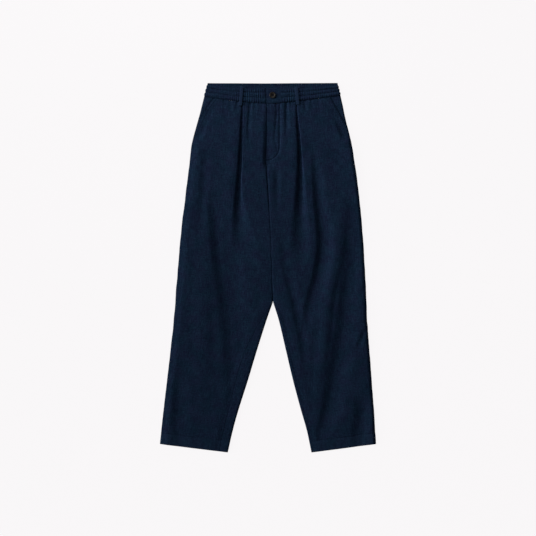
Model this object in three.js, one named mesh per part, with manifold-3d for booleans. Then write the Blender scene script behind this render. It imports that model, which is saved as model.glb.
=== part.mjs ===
// Navy pleated trousers with a gathered elastic waist, laid flat face up on the XY plane.
// Millimetres. +Y runs to the waist, +X to the viewer's right, which is the wearer's left, and +Z up.
// The whole garment is one flattened surface, read row by row from the inner edge to the outer edge.
import * as THREE from "three";
import Module from "manifold-3d";

// Cloth and lie of the garment
const CLOTH = 1.3;
const SEAM_GAP = 0.3;
const EDGE = 3.25; // radius of the turned edges, half the height at which the front lies
const MID = EDGE; // height of the side seams
const HEM_CLOTH = 2.4;
const HEM_DEEP = 29;
const HEM_GROOVE = 0.4;
const SEAM_DITCH = 0.7;
const DITCH_WIDE = 4;

// Heights along the centre front: waist seam, fly end, crotch and hem
const WAIST_Y = 446.2;
const FLY_END_Y = 288;
const CROTCH_Y = -92.5;
const HEM_Y = -500;
const CROTCH_DIP = 18; // the dip above the crotch, where the front comes down to meet the back

// Fly: the wearer's left front lies over the right one
const FLY_UNDERLAP = 10;
const FLY_LIFT = 0.8;
const FLY_SUNK = { to: 3, fade: 10 };
const FLY_CALM = 11;
const FLY_FADE = 34;
const FLY_SETTLES = { from: 2, over: 24 }; // below the fly's end both fronts come level
const SEAM_STARTS = { from: 24, over: 26 }; // below the fly's end the seam's ditch begins

// Waistband: outer cloth, elastic and inner cloth in one wall
const BAND = 2.6;
const BAND_TOP_Y = 484.5;
const BACK_BAND_TOP_Y = 496.5;
const WAVE_PITCH = 6;
const WAVE = 0.55;
const STITCH_SINK = 0.35;
const BACK_BAND = 2.3;
const BACK_WAVE = 0.45;
const TAB = { reach: 38, fade: 6, lift: 1.1, cloth: 2.1 };
const UNDERLAP = { reach: 32, fade: 7, lift: -1.3, cloth: 1.6 };

// Slant pockets
const FACING_SINK = 2.1;
const FACING_CLOTH = 1;
const FACING_UNDERLAP = 13;
const SLANT_CALM = { from: 15, to: 30 }; // no folds over the facing

// Belt loops and button
const LOOP = { wide: 8.8, edge: 0.9, round: 0.35, cloth: 1.6, end: 2.2, slack: 0.7, seat: 7.4 };
const BUTTON = { x: 12.2, y: 466.2, radius: 8.4, thick: 3.2, rim: 1.5, hole: 0.95, pitch: 2.5 };
const BUTTON_SEAT = 2 * EDGE + TAB.lift + SEAM_GAP;

// Outer edges, columns: y, wearer's right, wearer's left
const OUTER = [
  [500, -163, 188],
  [451.8, -175.5, 199.4],
  [397.8, -189.3, 211],
  [343.7, -204.6, 224],
  [235.5, -218.1, 241.1],
  [100.3, -234.9, 255.7],
  [-61.9, -248.7, 265.3],
  [-143, -255.1, 268.5],
  [-305.3, -273.4, 280.8],
  [-386.4, -283, 286.9],
  [-477, -292.5, 292.5],
];

// Centre front and centre back seam, columns: y, x
const CENTRE = [
  [500, -5.4],
  [446, -4.8],
  [345, -5.4],
  [288, -7],
  [231, -1.1],
  [172, 2.7],
  [50, 9],
  [-92.5, 13.5],
];

// Inner edges below the crotch, columns: y, wearer's right, wearer's left
const INNER = [
  [-92.5, 13.5, 13.5],
  [-143, -4.2, 29.4],
  [-224.2, -30, 48.6],
  [-305.3, -54.4, 67.8],
  [-386.4, -80.2, 89.5],
  [-440.5, -95.2, 105],
  [-500, -108.7, 117.6],
];

// Each row of the garment runs from the inner edge out, columns: inner y, outer y right and left, sag
const LEVELS = [
  [484.5, 493.7, 492, 4.5],
  [446.2, 463.2, 466.7, 2.6],
  [330, 347.7, 350.5, 0],
  [-500, -477, -477, 0],
];
const BACK_LEVELS = [
  [496.5, 499.2, 500, 0.8],
  [446.2, 463.2, 466.7, 2.6],
];

// How far the back wraps over each inner edge, columns: inner y, wearer's right, wearer's left
const WRAP = [
  [-92.5, 0, 0],
  [-104, 4, 8],
  [-131, 13, 13],
  [-225, 31, 11],
  [-309, 32, 10],
  [-412, 26, 8],
  [-500, 24, 6],
];

// Pocket mouth, its distance in from the outer edge, columns: outer y, wearer's right, wearer's left
const SLANT = [
  [465, 29.5, 29.5],
  [445, 19, 23],
  [415, 9.5, 13.5],
  [386, 4.4, 4.2],
  [364, 2, 1.6],
  [345, 0, 0],
];

// Troughs, and ridges where the depth is below 0. Columns: y, x, half width to -X, half width to +X, depth
const FOLDS = {
  right: {
    pleat: [
      [436, -70.5, 4, 3, 0.9],
      [400, -72.4, 6, 3.5, 2.2],
      [337, -75.4, 11, 4, 3.2],
      [280, -79.5, 17, 5, 3.6],
      [220, -83, 20, 6, 3.6],
      [164, -86, 21, 7, 3],
      [107, -87, 22, 11, 1.2],
      [55, -88, 24, 16, 0],
    ],
    pleatRidge: [
      [420, -64, 5, 14, 0],
      [337, -68, 6, 22, -1.1],
      [220, -75, 7, 28, -1.4],
      [140, -78, 9, 26, -0.7],
      [70, -80, 12, 22, 0],
    ],
    frontWrinkle: [
      [446, -50.8, 5, 5, 1.3],
      [415, -53, 5, 5, 0.9],
      [360, -56, 6, 5, 0.8],
      [325, -50, 6, 6, 0],
    ],
    longTrough: [
      [245, -159, 22, 22, 0],
      [142, -150, 24, 22, 1.6],
      [47, -140.6, 26, 24, 2.6],
      [-52, -127, 28, 24, 2.8],
      [-155, -113.6, 28, 24, 2.4],
      [-255, -109.5, 26, 22, 1.6],
      [-335, -106, 24, 18, 0],
    ],
    hipTrough: [
      [330, -172, 14, 16, 0],
      [250, -178, 16, 18, 0.9],
      [150, -186, 18, 18, 0.6],
      [60, -196, 18, 18, 0],
    ],
    shinTrough: [
      [-230, -240, 20, 26, 0],
      [-290, -248, 22, 30, 1.3],
      [-380, -251, 22, 32, 1.9],
      [-455, -252, 22, 30, 0.8],
      [-500, -252, 20, 28, 0.5],
    ],
    kneeRidge: [
      [60, -190, 30, 30, 0],
      [-100, -190, 34, 34, -1],
      [-300, -190, 34, 34, -0.8],
      [-420, -190, 30, 30, 0],
    ],
  },
  left: {
    pleat: [
      [430, 76.2, 3, 3, 0.8],
      [391, 78, 6, 3, 2],
      [329, 84.6, 15, 5, 3.4],
      [266, 84.6, 18, 6, 3.6],
      [207, 82.6, 18, 7, 3.6],
      [145, 76, 16, 8, 2.6],
      [83, 72, 16, 12, 1.1],
      [30, 70, 16, 14, 0],
    ],
    pleatRidge: [
      [400, 84, 5, 16, 0],
      [329, 94, 6, 20, -1.3],
      [266, 104, 12, 18, -1.5],
      [207, 108, 14, 15, -1],
      [130, 110, 14, 14, 0],
    ],
    innerWrinkle: [
      [446, 46.8, 6, 6, 1.5],
      [390, 46.8, 6, 6, 0.9],
      [345, 47, 7, 7, 0],
    ],
    secondTrough: [
      [330, 121, 12, 9, 0],
      [237, 125, 15, 10, 1.8],
      [174, 129.8, 17, 11, 2.9],
      [112, 136, 19, 12, 3.4],
      [50, 137, 20, 13, 3.3],
      [-20, 126, 20, 15, 2.6],
      [-66, 113.6, 20, 16, 2.1],
      [-128, 100, 18, 16, 1.3],
      [-210, 86, 16, 16, 0],
    ],
    longTrough: [
      [230, 214, 14, 18, 0],
      [163, 219, 18, 20, 1.7],
      [47, 217, 22, 22, 2.6],
      [-52, 200, 24, 22, 3],
      [-155, 184, 24, 22, 3],
      [-241, 170.4, 24, 22, 2.9],
      [-344, 154, 24, 22, 2.5],
      [-425, 138, 22, 20, 1.6],
      [-485, 130, 18, 18, 0],
    ],
    innerTrough: [
      [20, 46, 16, 16, 0],
      [-40, 52, 18, 18, 1.4],
      [-128, 73, 16, 16, 1.7],
      [-222, 90, 14, 16, 1],
      [-290, 100, 12, 14, 0],
    ],
    longRidge: [
      [200, 178, 26, 22, 0],
      [60, 178, 28, 22, -1.2],
      [-100, 152, 26, 20, -1.3],
      [-250, 136, 24, 20, -1],
      [-380, 118, 16, 18, 0],
    ],
    shinTrough: [
      [-330, 244, 24, 28, 0],
      [-400, 242, 30, 30, 1.7],
      [-450, 238, 32, 30, 1.6],
      [-500, 236, 30, 28, 0.5],
    ],
    kneeCrease: [
      [-160, 262, 8, 10, 0],
      [-178, 255, 10, 10, 1.3],
      [-205, 244, 12, 10, 1.3],
      [-232, 230, 12, 12, 0],
    ],
    thighCrease: [
      [-40, 258, 10, 8, 0],
      [-60, 254, 12, 8, 1],
      [-82, 246, 12, 10, 0],
    ],
  },
};

// Gathers under the waist seam, columns: x, half width, depth, length
const GATHERS = {
  right: [
    [-132, 7, 0.8, 34],
    [-118, 7, 1, 44],
    [-103, 7, 1.1, 40],
    [-84, 7, 1.3, 30],
    [-37, 7, 1, 46],
    [-20, 7, 0.9, 40],
  ],
  left: [
    [22, 6, 0.9, 50],
    [62, 7, 1.1, 44],
    [100, 7, 1.1, 46],
    [117, 7, 1, 42],
    [135, 8, 0.9, 40],
    [153, 8, 0.7, 32],
  ],
};

// Belt loops in front, columns: name, x at the top, x at the bottom, top y, bottom y
const FRONT_LOOPS = [
  ["belt_loop_front_right", -70, -74.8, 490.8, 437.8],
  ["belt_loop_front_left", 77, 81, 488.5, 440.6],
];
// Belt loops behind, columns: name, x, bottom y
const BACK_LOOPS = [
  ["belt_loop_back_right", -106, 457],
  ["belt_loop_back_middle", 12, 449.5],
  ["belt_loop_back_left", 130, 461],
];
const BACK_LOOP = { top: 493, recess: 1.9, half: 8, ramp: 4 };

// Rows of points, as heights on the inner edge
const TOP_ROWS = [
  WAIST_Y - SEAM_GAP / 2,
  ...[438, 426, 409, 386, 360, 344, 332, 306, 292, 286],
  ...[262, 226, 186, 142, 96, 48, 0, -42, -72],
];
const CROTCH_ROWS = [-83, CROTCH_Y, -104];
const HEM_ROWS = [-468, -472]; // beside the hem's stitch line
const LEG_ROWS = [-131, -165, -205, -250, -300, -350, -400, -440, ...HEM_ROWS, HEM_Y];
const BACK_TOP_ROWS = [WAIST_Y - SEAM_GAP / 2, 330, 200, 60, -42, -72];
const FRONT_COLUMNS = 27;
const EDGE_CROWD = 3.5; // how much closer the points are where a front turns down, and by its folds
const FOLD_CROWD = { weight: 0.9, margin: 4 };
const BACK_CROWD = 14;
const FACING_CROWD = 4;
const BACK_COLUMNS = 11;
const FACING_COLUMNS = 8;
const BACK_BAND_ROWS = [WAIST_Y + SEAM_GAP / 2, 470, 488, BACK_BAND_TOP_Y];

const SIDES = {
  right: { column: 1, folds: FOLDS.right, gathers: GATHERS.right, over: false },
  left: { column: 2, folds: FOLDS.left, gathers: GATHERS.left, over: true },
};

const clamp = THREE.MathUtils.clamp;
const smooth = THREE.MathUtils.smoothstep;

// A smooth curve through one column of a table whose first column falls from row to row
function through(rows, column) {
  const last = rows.length - 1;
  const slopes = rows.map((row, i) => {
    const before = rows[Math.max(i - 1, 0)];
    const after = rows[Math.min(i + 1, last)];
    return (after[column] - before[column]) / (after[0] - before[0]);
  });
  return (at) => {
    let i = 0;
    while (i < last - 1 && at < rows[i + 1][0]) i++;
    const span = rows[i + 1][0] - rows[i][0];
    const t = clamp((at - rows[i][0]) / span, 0, 1);
    const rise = rows[i + 1][column] - rows[i][column];
    const bend = t * (1 - t) * ((1 - t) * (slopes[i] * span - rise) - t * (slopes[i + 1] * span - rise));
    return rows[i][column] + rise * t + bend;
  };
}

for (const side of Object.values(SIDES)) {
  side.outer = through(OUTER, side.column);
  side.inner = through(INNER, side.column);
  side.wrap = through(WRAP, side.column);
  side.slant = through(SLANT, side.column);
  side.level = through(LEVELS, side.column);
  side.backLevel = through(BACK_LEVELS, side.column);
  side.creases = Object.values(side.folds).map((rows) => [1, 2, 3, 4].map((column) => through(rows, column)));
}
const centre = through(CENTRE, 1);
const sag = through(LEVELS, 3);
const backSag = through(BACK_LEVELS, 3);

// The flattened ring of one row: flat on top, and turned round both edges by arcs.
// The arc length is counted over the top from the inner edge, which is turned by the angle turn.
function ring(width, turn) {
  const reach = EDGE * Math.sin(turn);
  const innerArc = EDGE * turn;
  const flatEnd = innerArc + width - reach - EDGE;
  return {
    length: flatEnd + (EDGE * Math.PI) / 2,
    at(arc) {
      if (turn > 0 && arc < innerArc) {
        const angle = turn - arc / EDGE;
        return { across: reach - EDGE * Math.sin(angle), tilt: -Math.sin(angle), rise: Math.cos(angle) };
      }
      if (arc <= flatEnd) return { across: reach + arc - innerArc, tilt: 0, rise: 1 };
      const angle = (arc - flatEnd) / EDGE;
      return { across: width - EDGE + EDGE * Math.sin(angle), tilt: Math.sin(angle), rise: Math.cos(angle) };
    },
  };
}

// The arc length from an edge to a point that is a given distance in from it
function arcFromEdge(inset) {
  if (inset < EDGE) return EDGE * Math.acos(1 - inset / EDGE);
  return (EDGE * Math.PI) / 2 + inset - EDGE;
}

// One row of the garment on one side, from its height on the inner edge
function station(side, innerY, level = side.level, dip = sag) {
  const below = innerY < CROTCH_Y;
  const inner = new THREE.Vector2(below ? side.inner(innerY) : centre(innerY), innerY);
  const outerY = level(innerY);
  const outer = new THREE.Vector2(side.outer(outerY), outerY);
  const turn = (Math.PI / 2) * clamp((CROTCH_Y + CROTCH_DIP - innerY) / CROTCH_DIP, 0, 1);
  inner.x += (side.over ? 0.5 : -0.5) * SEAM_GAP * Math.sin(turn);
  const width = inner.distanceTo(outer);
  const along = outer.sub(inner).divideScalar(width);
  return { inner, along, width, turn, outerY, innerY, dip: dip(innerY), ring: ring(width, turn) };
}

// A point of the row, out from the garment's base surface by height, on its top or underneath
function place(row, arc, height, top = true) {
  const spot = row.ring.at(arc);
  const across = spot.across + spot.tilt * height;
  const up = spot.rise * (EDGE + height);
  const drop = row.dip * Math.sin(Math.PI * clamp(Math.abs(spot.across) / row.width, 0, 1));
  return new THREE.Vector3(
    row.inner.x + row.along.x * across,
    row.inner.y + row.along.y * Math.abs(across) - drop,
    top ? MID + up : MID - up,
  );
}

function bump(distance, minus, plus) {
  const t = distance / (distance < 0 ? minus : plus);
  return Math.abs(t) < 1 ? (1 - t * t) ** 2 : 0;
}

// The folds' height at a point of a front
function foldRelief(side, x, y) {
  let height = 0;
  for (const [at, minus, plus, depth] of side.creases) {
    height -= depth(y) * bump(x - at(y), minus(y), plus(y));
  }
  return height;
}

function gatherRelief(side, x, below) {
  let height = 0;
  for (const [at, half, depth, length] of side.gathers) {
    const fade = clamp(1 - below / length, 0, 1);
    height -= depth * fade * bump(x - at, half, half);
  }
  return height;
}

// Even weight along the row, more round the edges and more near the folds
function crowding(side, row) {
  return (arc) => {
    const spot = row.ring.at(arc);
    const x = row.inner.x + row.along.x * spot.across;
    const y = row.inner.y + row.along.y * spot.across;
    let weight = 1 + EDGE_CROWD * Math.abs(spot.tilt);
    for (const [at, minus, plus, depth] of side.creases) {
      const near = bump(x - at(y), minus(y) + FOLD_CROWD.margin, plus(y) + FOLD_CROWD.margin);
      weight += FOLD_CROWD.weight * Math.abs(depth(y)) * near;
    }
    return weight;
  };
}

// Arc lengths from start to end, closer together where the weight is larger
function spread(start, end, count, weight) {
  const steps = 240;
  const sums = [0];
  for (let k = 0; k < steps; k++) {
    sums.push(sums[k] + weight(start + ((end - start) * (k + 0.5)) / steps));
  }
  const arcs = [];
  let k = 0;
  for (let i = 0; i <= count; i++) {
    const target = (sums[steps] * i) / count;
    while (k < steps - 1 && sums[k + 1] < target) k++;
    const part = (target - sums[k]) / (sums[k + 1] - sums[k]);
    arcs.push(start + ((end - start) * (k + part)) / steps);
  }
  return arcs;
}

// A closed wall between two matching grids of points
function wall(outer, inner) {
  const rows = outer.length;
  const columns = outer[0].length;
  const positions = [...outer.flat(), ...inner.flat()].flatMap((p) => [p.x, p.y, p.z]);
  const at = (layer, i, j) => (layer * rows + i) * columns + j;
  const index = [];
  const quad = (a, b, c, d) => index.push(a, b, c, a, c, d);
  for (let i = 0; i < rows - 1; i++) {
    for (let j = 0; j < columns - 1; j++) {
      quad(at(0, i, j), at(0, i + 1, j), at(0, i + 1, j + 1), at(0, i, j + 1));
      quad(at(1, i, j), at(1, i, j + 1), at(1, i + 1, j + 1), at(1, i + 1, j));
    }
    quad(at(0, i, 0), at(1, i, 0), at(1, i + 1, 0), at(0, i + 1, 0));
    quad(at(0, i + 1, columns - 1), at(1, i + 1, columns - 1), at(1, i, columns - 1), at(0, i, columns - 1));
  }
  for (let j = 0; j < columns - 1; j++) {
    quad(at(0, 0, j), at(0, 0, j + 1), at(1, 0, j + 1), at(1, 0, j));
    quad(at(0, rows - 1, j + 1), at(0, rows - 1, j), at(1, rows - 1, j), at(1, rows - 1, j + 1));
  }
  const geometry = new THREE.BufferGeometry();
  geometry.setAttribute("position", new THREE.Float32BufferAttribute(positions, 3));
  geometry.setIndex(index);
  return facingOut(geometry);
}

// Turns the faces round where they point into the body
function facingOut(geometry) {
  const p = geometry.attributes.position;
  const index = geometry.index.array;
  const [a, b, c] = [new THREE.Vector3(), new THREE.Vector3(), new THREE.Vector3()];
  let volume = 0;
  for (let i = 0; i < index.length; i += 3) {
    a.fromBufferAttribute(p, index[i]);
    b.fromBufferAttribute(p, index[i + 1]);
    c.fromBufferAttribute(p, index[i + 2]);
    volume += a.dot(b.cross(c));
  }
  if (volume < 0) {
    for (let i = 0; i < index.length; i += 3) {
      [index[i + 1], index[i + 2]] = [index[i + 2], index[i + 1]];
    }
  }
  geometry.computeVertexNormals();
  return geometry;
}

const cloth = (row) => (HEM_Y + HEM_DEEP > row.innerY ? HEM_CLOTH : CLOTH);
const inFly = (row) => row.innerY > FLY_END_Y;

// The fly's step: the under front sinks and the over front rises where they lap
function flyLift(side, row, across) {
  const settled = FLY_END_Y - FLY_SETTLES.from;
  const height = FLY_LIFT * smooth(row.innerY, settled - FLY_SETTLES.over, settled);
  if (side.over) return height * (1 - smooth(across, FLY_CALM, FLY_FADE));
  return -height * (1 - smooth(across, FLY_SUNK.to, FLY_SUNK.fade));
}

// A leg's front: gathers, pleat and folds, open along the slant pocket, doubled at the hem
function front(side) {
  const outer = [];
  const inner = [];
  for (const innerY of [...TOP_ROWS, ...CROTCH_ROWS, ...LEG_ROWS]) {
    const row = station(side, innerY);
    const below = WAIST_Y - innerY;
    const mouth = arcFromEdge(side.slant(row.outerY));
    const wrapped = innerY < CROTCH_Y ? arcFromEdge(side.wrap(innerY)) : 0;
    const lap = inFly(row) ? (side.over ? 0 : -FLY_UNDERLAP) : SEAM_GAP / 2;
    const start = wrapped > 0 ? wrapped + SEAM_GAP / 2 : lap;
    const end = row.ring.length - Math.max(mouth, SEAM_GAP / 2);
    const floor = 2 * cloth(row) + SEAM_GAP - 2 * EDGE;
    const seamStart = FLY_END_Y - SEAM_STARTS.from;
    const sewn = wrapped ? 0 : SEAM_DITCH * (1 - smooth(innerY, seamStart - SEAM_STARTS.over, seamStart));
    const beside = Math.max(start, 0) + FLY_SUNK.to;
    const arcs = [start, ...spread(beside, end, FRONT_COLUMNS, crowding(side, row))];
    const points = arcs.map((arc) => {
      const base = place(row, arc, 0);
      const spot = row.ring.at(arc);
      const fromMouth = mouth > SEAM_GAP ? smooth(end - arc, SLANT_CALM.from, SLANT_CALM.to) : 1;
      const calm = fromMouth * spot.rise ** 2 * (inFly(row) ? smooth(spot.across, 0, FLY_CALM) : 1);
      const folds = foldRelief(side, base.x, base.y) + gatherRelief(side, base.x, below);
      const ditch = sewn * bump(spot.across, DITCH_WIDE, DITCH_WIDE);
      const groove = HEM_ROWS.includes(innerY) ? HEM_GROOVE : 0;
      const relief = Math.max(folds * calm - ditch - groove, floor);
      return { arc, relief, lift: flyLift(side, row, spot.across) };
    });
    outer.push(points.map(({ arc, relief, lift }) => place(row, arc, relief + lift)));
    inner.push(points.map(({ arc, relief, lift }) => place(row, arc, Math.min(relief, 0) + lift - cloth(row))));
  }
  return wall(outer, inner);
}

// A leg's back: flat where it rests, turned up at the outer edge and wrapped over the inner one
function back(side) {
  const outer = [];
  const inner = [];
  for (const innerY of [...BACK_TOP_ROWS, ...CROTCH_ROWS, ...LEG_ROWS]) {
    const row = station(side, innerY);
    const wrapped = innerY < CROTCH_Y ? arcFromEdge(side.wrap(innerY)) : 0;
    const start = wrapped > 0 ? SEAM_GAP / 2 - wrapped : SEAM_GAP / 2;
    const end = row.ring.length - SEAM_GAP / 2;
    const weight = (arc) => (row.ring.at(Math.abs(arc)).tilt ? 1 + BACK_CROWD : 1);
    const arcs = spread(start, end, BACK_COLUMNS, weight);
    outer.push(arcs.map((arc) => place(row, Math.abs(arc), 0, arc < 0)));
    inner.push(arcs.map((arc) => place(row, Math.abs(arc), -cloth(row), arc < 0)));
  }
  return wall(outer, inner);
}

// The hip facing behind a slant pocket, sunk below the front and turned down to the side seam
function facing(side) {
  const outer = [];
  const inner = [];
  for (const innerY of TOP_ROWS.filter((y) => side.level(y) > SLANT.at(-1)[0])) {
    const row = station(side, innerY);
    const mouth = arcFromEdge(side.slant(row.outerY));
    const start = row.ring.length - mouth - FACING_UNDERLAP;
    const end = row.ring.length - SEAM_GAP / 2;
    const arcs = spread(start, end, FACING_COLUMNS, (arc) => 1 + FACING_CROWD * row.ring.at(arc).tilt);
    outer.push(arcs.map((arc) => place(row, arc, -FACING_SINK)));
    inner.push(arcs.map((arc) => place(row, arc, -FACING_SINK - FACING_CLOTH)));
  }
  return wall(outer, inner);
}

// The band's rows between its stitch lines, columns: part of the way up, how much the gathers show
const BAND_ROWS = [
  [0, 0.15],
  [0.21, 1],
  [0.42, 0.1],
  [0.6, 0.9],
  [0.79, 0.1],
  [0.91, 0.6],
  [1, 0.3],
];

// Uneven heights for the small gathers, the same at every build
const uneven = (k) => 0.75 + 0.25 * Math.sin(1.9 * k + 0.6) * Math.cos(0.73 * k);

// Half waves from the plain part of the band to where its edge turns down, as many in every row
function bandArcs(side, start, plain, length) {
  const turned = length - (EDGE * Math.PI) / 2;
  const halves = 2 * Math.round((station(side, WAIST_Y).width - plain) / WAVE_PITCH);
  const arcs = [];
  for (let k = 0; k <= halves; k++) {
    arcs.push({ arc: plain + ((turned - plain) * k) / halves, wave: (k % 2 ? -1 : 1) * uneven(k) });
  }
  arcs[0].wave = 0;
  for (const part of [0.35, 0.7]) arcs.push({ arc: turned + part * (length - turned), wave: 0 });
  arcs.push({ arc: length - SEAM_GAP / 2, wave: 0 });
  const plainArcs = start < plain ? [start, start + (plain - start) / 3, start + (2 * (plain - start)) / 3] : [];
  return [...plainArcs.map((arc) => ({ arc, wave: 0 })), ...arcs];
}

// A half of the waistband's front, with the button tab on the left and its underlap on the right
function bandFront(side) {
  const outer = [];
  const inner = [];
  const start = side.over ? 0 : -UNDERLAP.reach;
  const plain = side.over ? TAB.reach + TAB.fade : UNDERLAP.fade;
  for (const [part, gather] of BAND_ROWS) {
    const innerY = THREE.MathUtils.lerp(WAIST_Y + SEAM_GAP / 2, BAND_TOP_Y, part);
    const row = station(side, innerY);
    const points = bandArcs(side, start, plain, row.ring.length);
    if (!side.over) points.splice(3, 0, { arc: 0, wave: 0 });
    else points.splice(3, 0, { arc: TAB.reach, wave: 0 });
    outer.push([]);
    inner.push([]);
    for (const { arc, wave } of points) {
      const flat = side.over ? 1 - smooth(arc, TAB.reach, plain) : 1 - smooth(arc, 0, plain);
      const { lift, cloth: thin } = side.over ? TAB : UNDERLAP;
      const thick = THREE.MathUtils.lerp(BAND, thin, flat);
      const stitched = STITCH_SINK * (1 - gather) * (1 - flat);
      outer.at(-1).push(place(row, arc, lift * flat + WAVE * wave * gather - stitched));
      inner.at(-1).push(place(row, arc, lift * flat - thick));
    }
  }
  return wall(outer, inner);
}

// The back waistband in one piece. Its inner side shows above the front, and loops press into its underside.
function bandBack() {
  const outer = [];
  const inner = [];
  const recess = (x) => {
    const near = Math.min(...BACK_LOOPS.map(([, at]) => Math.abs(x - at)));
    return BACK_LOOP.recess * (1 - smooth(near, BACK_LOOP.half, BACK_LOOP.half + BACK_LOOP.ramp));
  };
  for (const innerY of BACK_BAND_ROWS) {
    const halves = Object.values(SIDES).map((side) => {
      const row = station(side, innerY, side.backLevel, backSag);
      return bandArcs(side, 0, 0, row.ring.length).map(({ arc, wave }) => {
        const low = place(row, arc, 0, false);
        const high = place(row, arc, -BACK_BAND - BACK_WAVE * wave, false);
        if (row.ring.at(arc).tilt === 0) low.z = recess(low.x);
        return [low, high];
      });
    });
    const across = [...halves[0].slice(1).reverse(), ...halves[1]];
    outer.push(across.map(([low]) => low));
    inner.push(across.map(([, high]) => high));
  }
  return wall(outer, inner);
}

// A belt loop from end to end, columns: part of the way, how far it stands off the band, thickness
const LOOP_ROWS = [
  [0, 0, LOOP.end],
  [0.14, 0, LOOP.end],
  [0.24, 0.6, LOOP.cloth],
  [0.5, 1, LOOP.cloth],
  [0.76, 0.6, LOOP.cloth],
  [0.86, 0, LOOP.end],
  [1, 0, LOOP.end],
];

// A belt loop: a strip folded in at both ends, standing a little off the band between them
function loop(topX, bottomX, topY, bottomY, seat, slack) {
  const outer = [];
  const inner = [];
  for (const [part, stand, thick] of LOOP_ROWS) {
    const x = THREE.MathUtils.lerp(topX, bottomX, part);
    const y = THREE.MathUtils.lerp(topY, bottomY, part);
    const low = seat + slack * stand;
    const high = low + (slack ? thick : LOOP.cloth);
    const half = LOOP.wide / 2;
    const offsets = [-half, LOOP.edge - half, half - LOOP.edge, half];
    const rounded = (offset) => (Math.abs(offset) === half ? LOOP.round : 0);
    outer.push(offsets.map((offset) => new THREE.Vector3(x + offset, y, high - rounded(offset))));
    inner.push(offsets.map((offset) => new THREE.Vector3(x + offset, y, low)));
  }
  return wall(outer, inner);
}

const wasm = await Module();
wasm.setup();

function toSolid(geometry) {
  return new wasm.Manifold(
    new wasm.Mesh({
      numProp: 3,
      vertProperties: new Float32Array(geometry.attributes.position.array),
      triVerts: new Uint32Array(geometry.index.array),
    }),
  );
}

function toGeometry(solid) {
  const mesh = solid.getMesh();
  const geometry = new THREE.BufferGeometry();
  geometry.setAttribute("position", new THREE.BufferAttribute(mesh.vertProperties, 3));
  geometry.setIndex(new THREE.BufferAttribute(mesh.triVerts, 1));
  geometry.computeVertexNormals();
  return geometry;
}

// A round body about the Z axis from a profile of [radius, height] that starts and ends on the axis
function turned(profile, around) {
  const points = profile.map(([radius, height]) => new THREE.Vector2(radius, height));
  const positions = [];
  for (const { x, y } of points.slice(1, -1)) {
    for (let k = 0; k < around; k++) {
      const angle = (2 * Math.PI * k) / around;
      positions.push(x * Math.cos(angle), x * Math.sin(angle), y);
    }
  }
  const rings = points.length - 2;
  const first = rings * around;
  positions.push(0, 0, points[0].y, 0, 0, points.at(-1).y);
  const index = [];
  for (let k = 0; k < around; k++) {
    const next = (k + 1) % around;
    index.push(first, next, k);
    index.push(first + 1, (rings - 1) * around + k, (rings - 1) * around + next);
    for (let i = 0; i < rings - 1; i++) {
      const [a, b] = [i * around + k, i * around + next];
      index.push(a, b, b + around, a, b + around, a + around);
    }
  }
  const geometry = new THREE.BufferGeometry();
  geometry.setAttribute("position", new THREE.Float32BufferAttribute(positions, 3));
  geometry.setIndex(index);
  return facingOut(geometry);
}

// The fly button: a raised rim round a dished middle with four holes
function button() {
  const { radius, thick, rim, hole, pitch } = BUTTON;
  const dish = thick - 0.9;
  let solid = toSolid(
    turned(
      [
        [0, 0],
        [radius - 2.2, 0],
        [radius - 0.4, 0.9],
        [radius, 1.9],
        [radius - 0.35, thick - 0.3],
        [radius - rim, thick],
        [radius - rim - 1.3, dish],
        [0, dish],
      ],
      28,
    ),
  );
  for (const [x, y] of [[1, 1], [-1, 1], [-1, -1], [1, -1]]) {
    const bore = turned([[0, -1], [hole, -1], [hole, thick + 1], [0, thick + 1]], 10);
    bore.translate((x * pitch) / 2, (y * pitch) / 2, 0);
    solid = solid.subtract(toSolid(bore));
  }
  return toGeometry(solid);
}

const NAVY = new THREE.MeshStandardMaterial({ color: 0x182338, roughness: 0.95, metalness: 0 });
const NAVY_SHADE = new THREE.MeshStandardMaterial({ color: 0x131c2d, roughness: 0.95, metalness: 0 });
const HORN = new THREE.MeshStandardMaterial({ color: 0x14100f, roughness: 0.4, metalness: 0 });

const trousers = new THREE.Group();
function add(name, geometry, material) {
  const mesh = new THREE.Mesh(geometry, material.clone());
  mesh.name = name;
  trousers.add(mesh);
  return mesh;
}

for (const [name, side] of Object.entries(SIDES)) {
  add(`front_${name}`, front(side), NAVY);
  add(`back_${name}`, back(side), NAVY);
  add(`hip_facing_${name}`, facing(side), NAVY_SHADE);
  add(`waistband_front_${name}`, bandFront(side), NAVY);
}
add("waistband_back", bandBack(), NAVY_SHADE);
for (const [name, topX, bottomX, topY, bottomY] of FRONT_LOOPS) {
  add(name, loop(topX, bottomX, topY, bottomY, LOOP.seat, LOOP.slack), NAVY);
}
for (const [name, x, bottomY] of BACK_LOOPS) {
  add(name, loop(x, x, BACK_LOOP.top, bottomY, 0, 0), NAVY);
}
add("fly_button", button(), HORN).position.set(BUTTON.x, BUTTON.y, BUTTON_SEAT);

export default trousers;
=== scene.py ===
"""Navy pleated trousers with a gathered elastic waist, laid flat face up on a pale floor."""
import math

import bmesh
import bpy
import numpy as np
from mathutils import Matrix, Vector, noise
from mathutils.bvhtree import BVHTree


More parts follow.
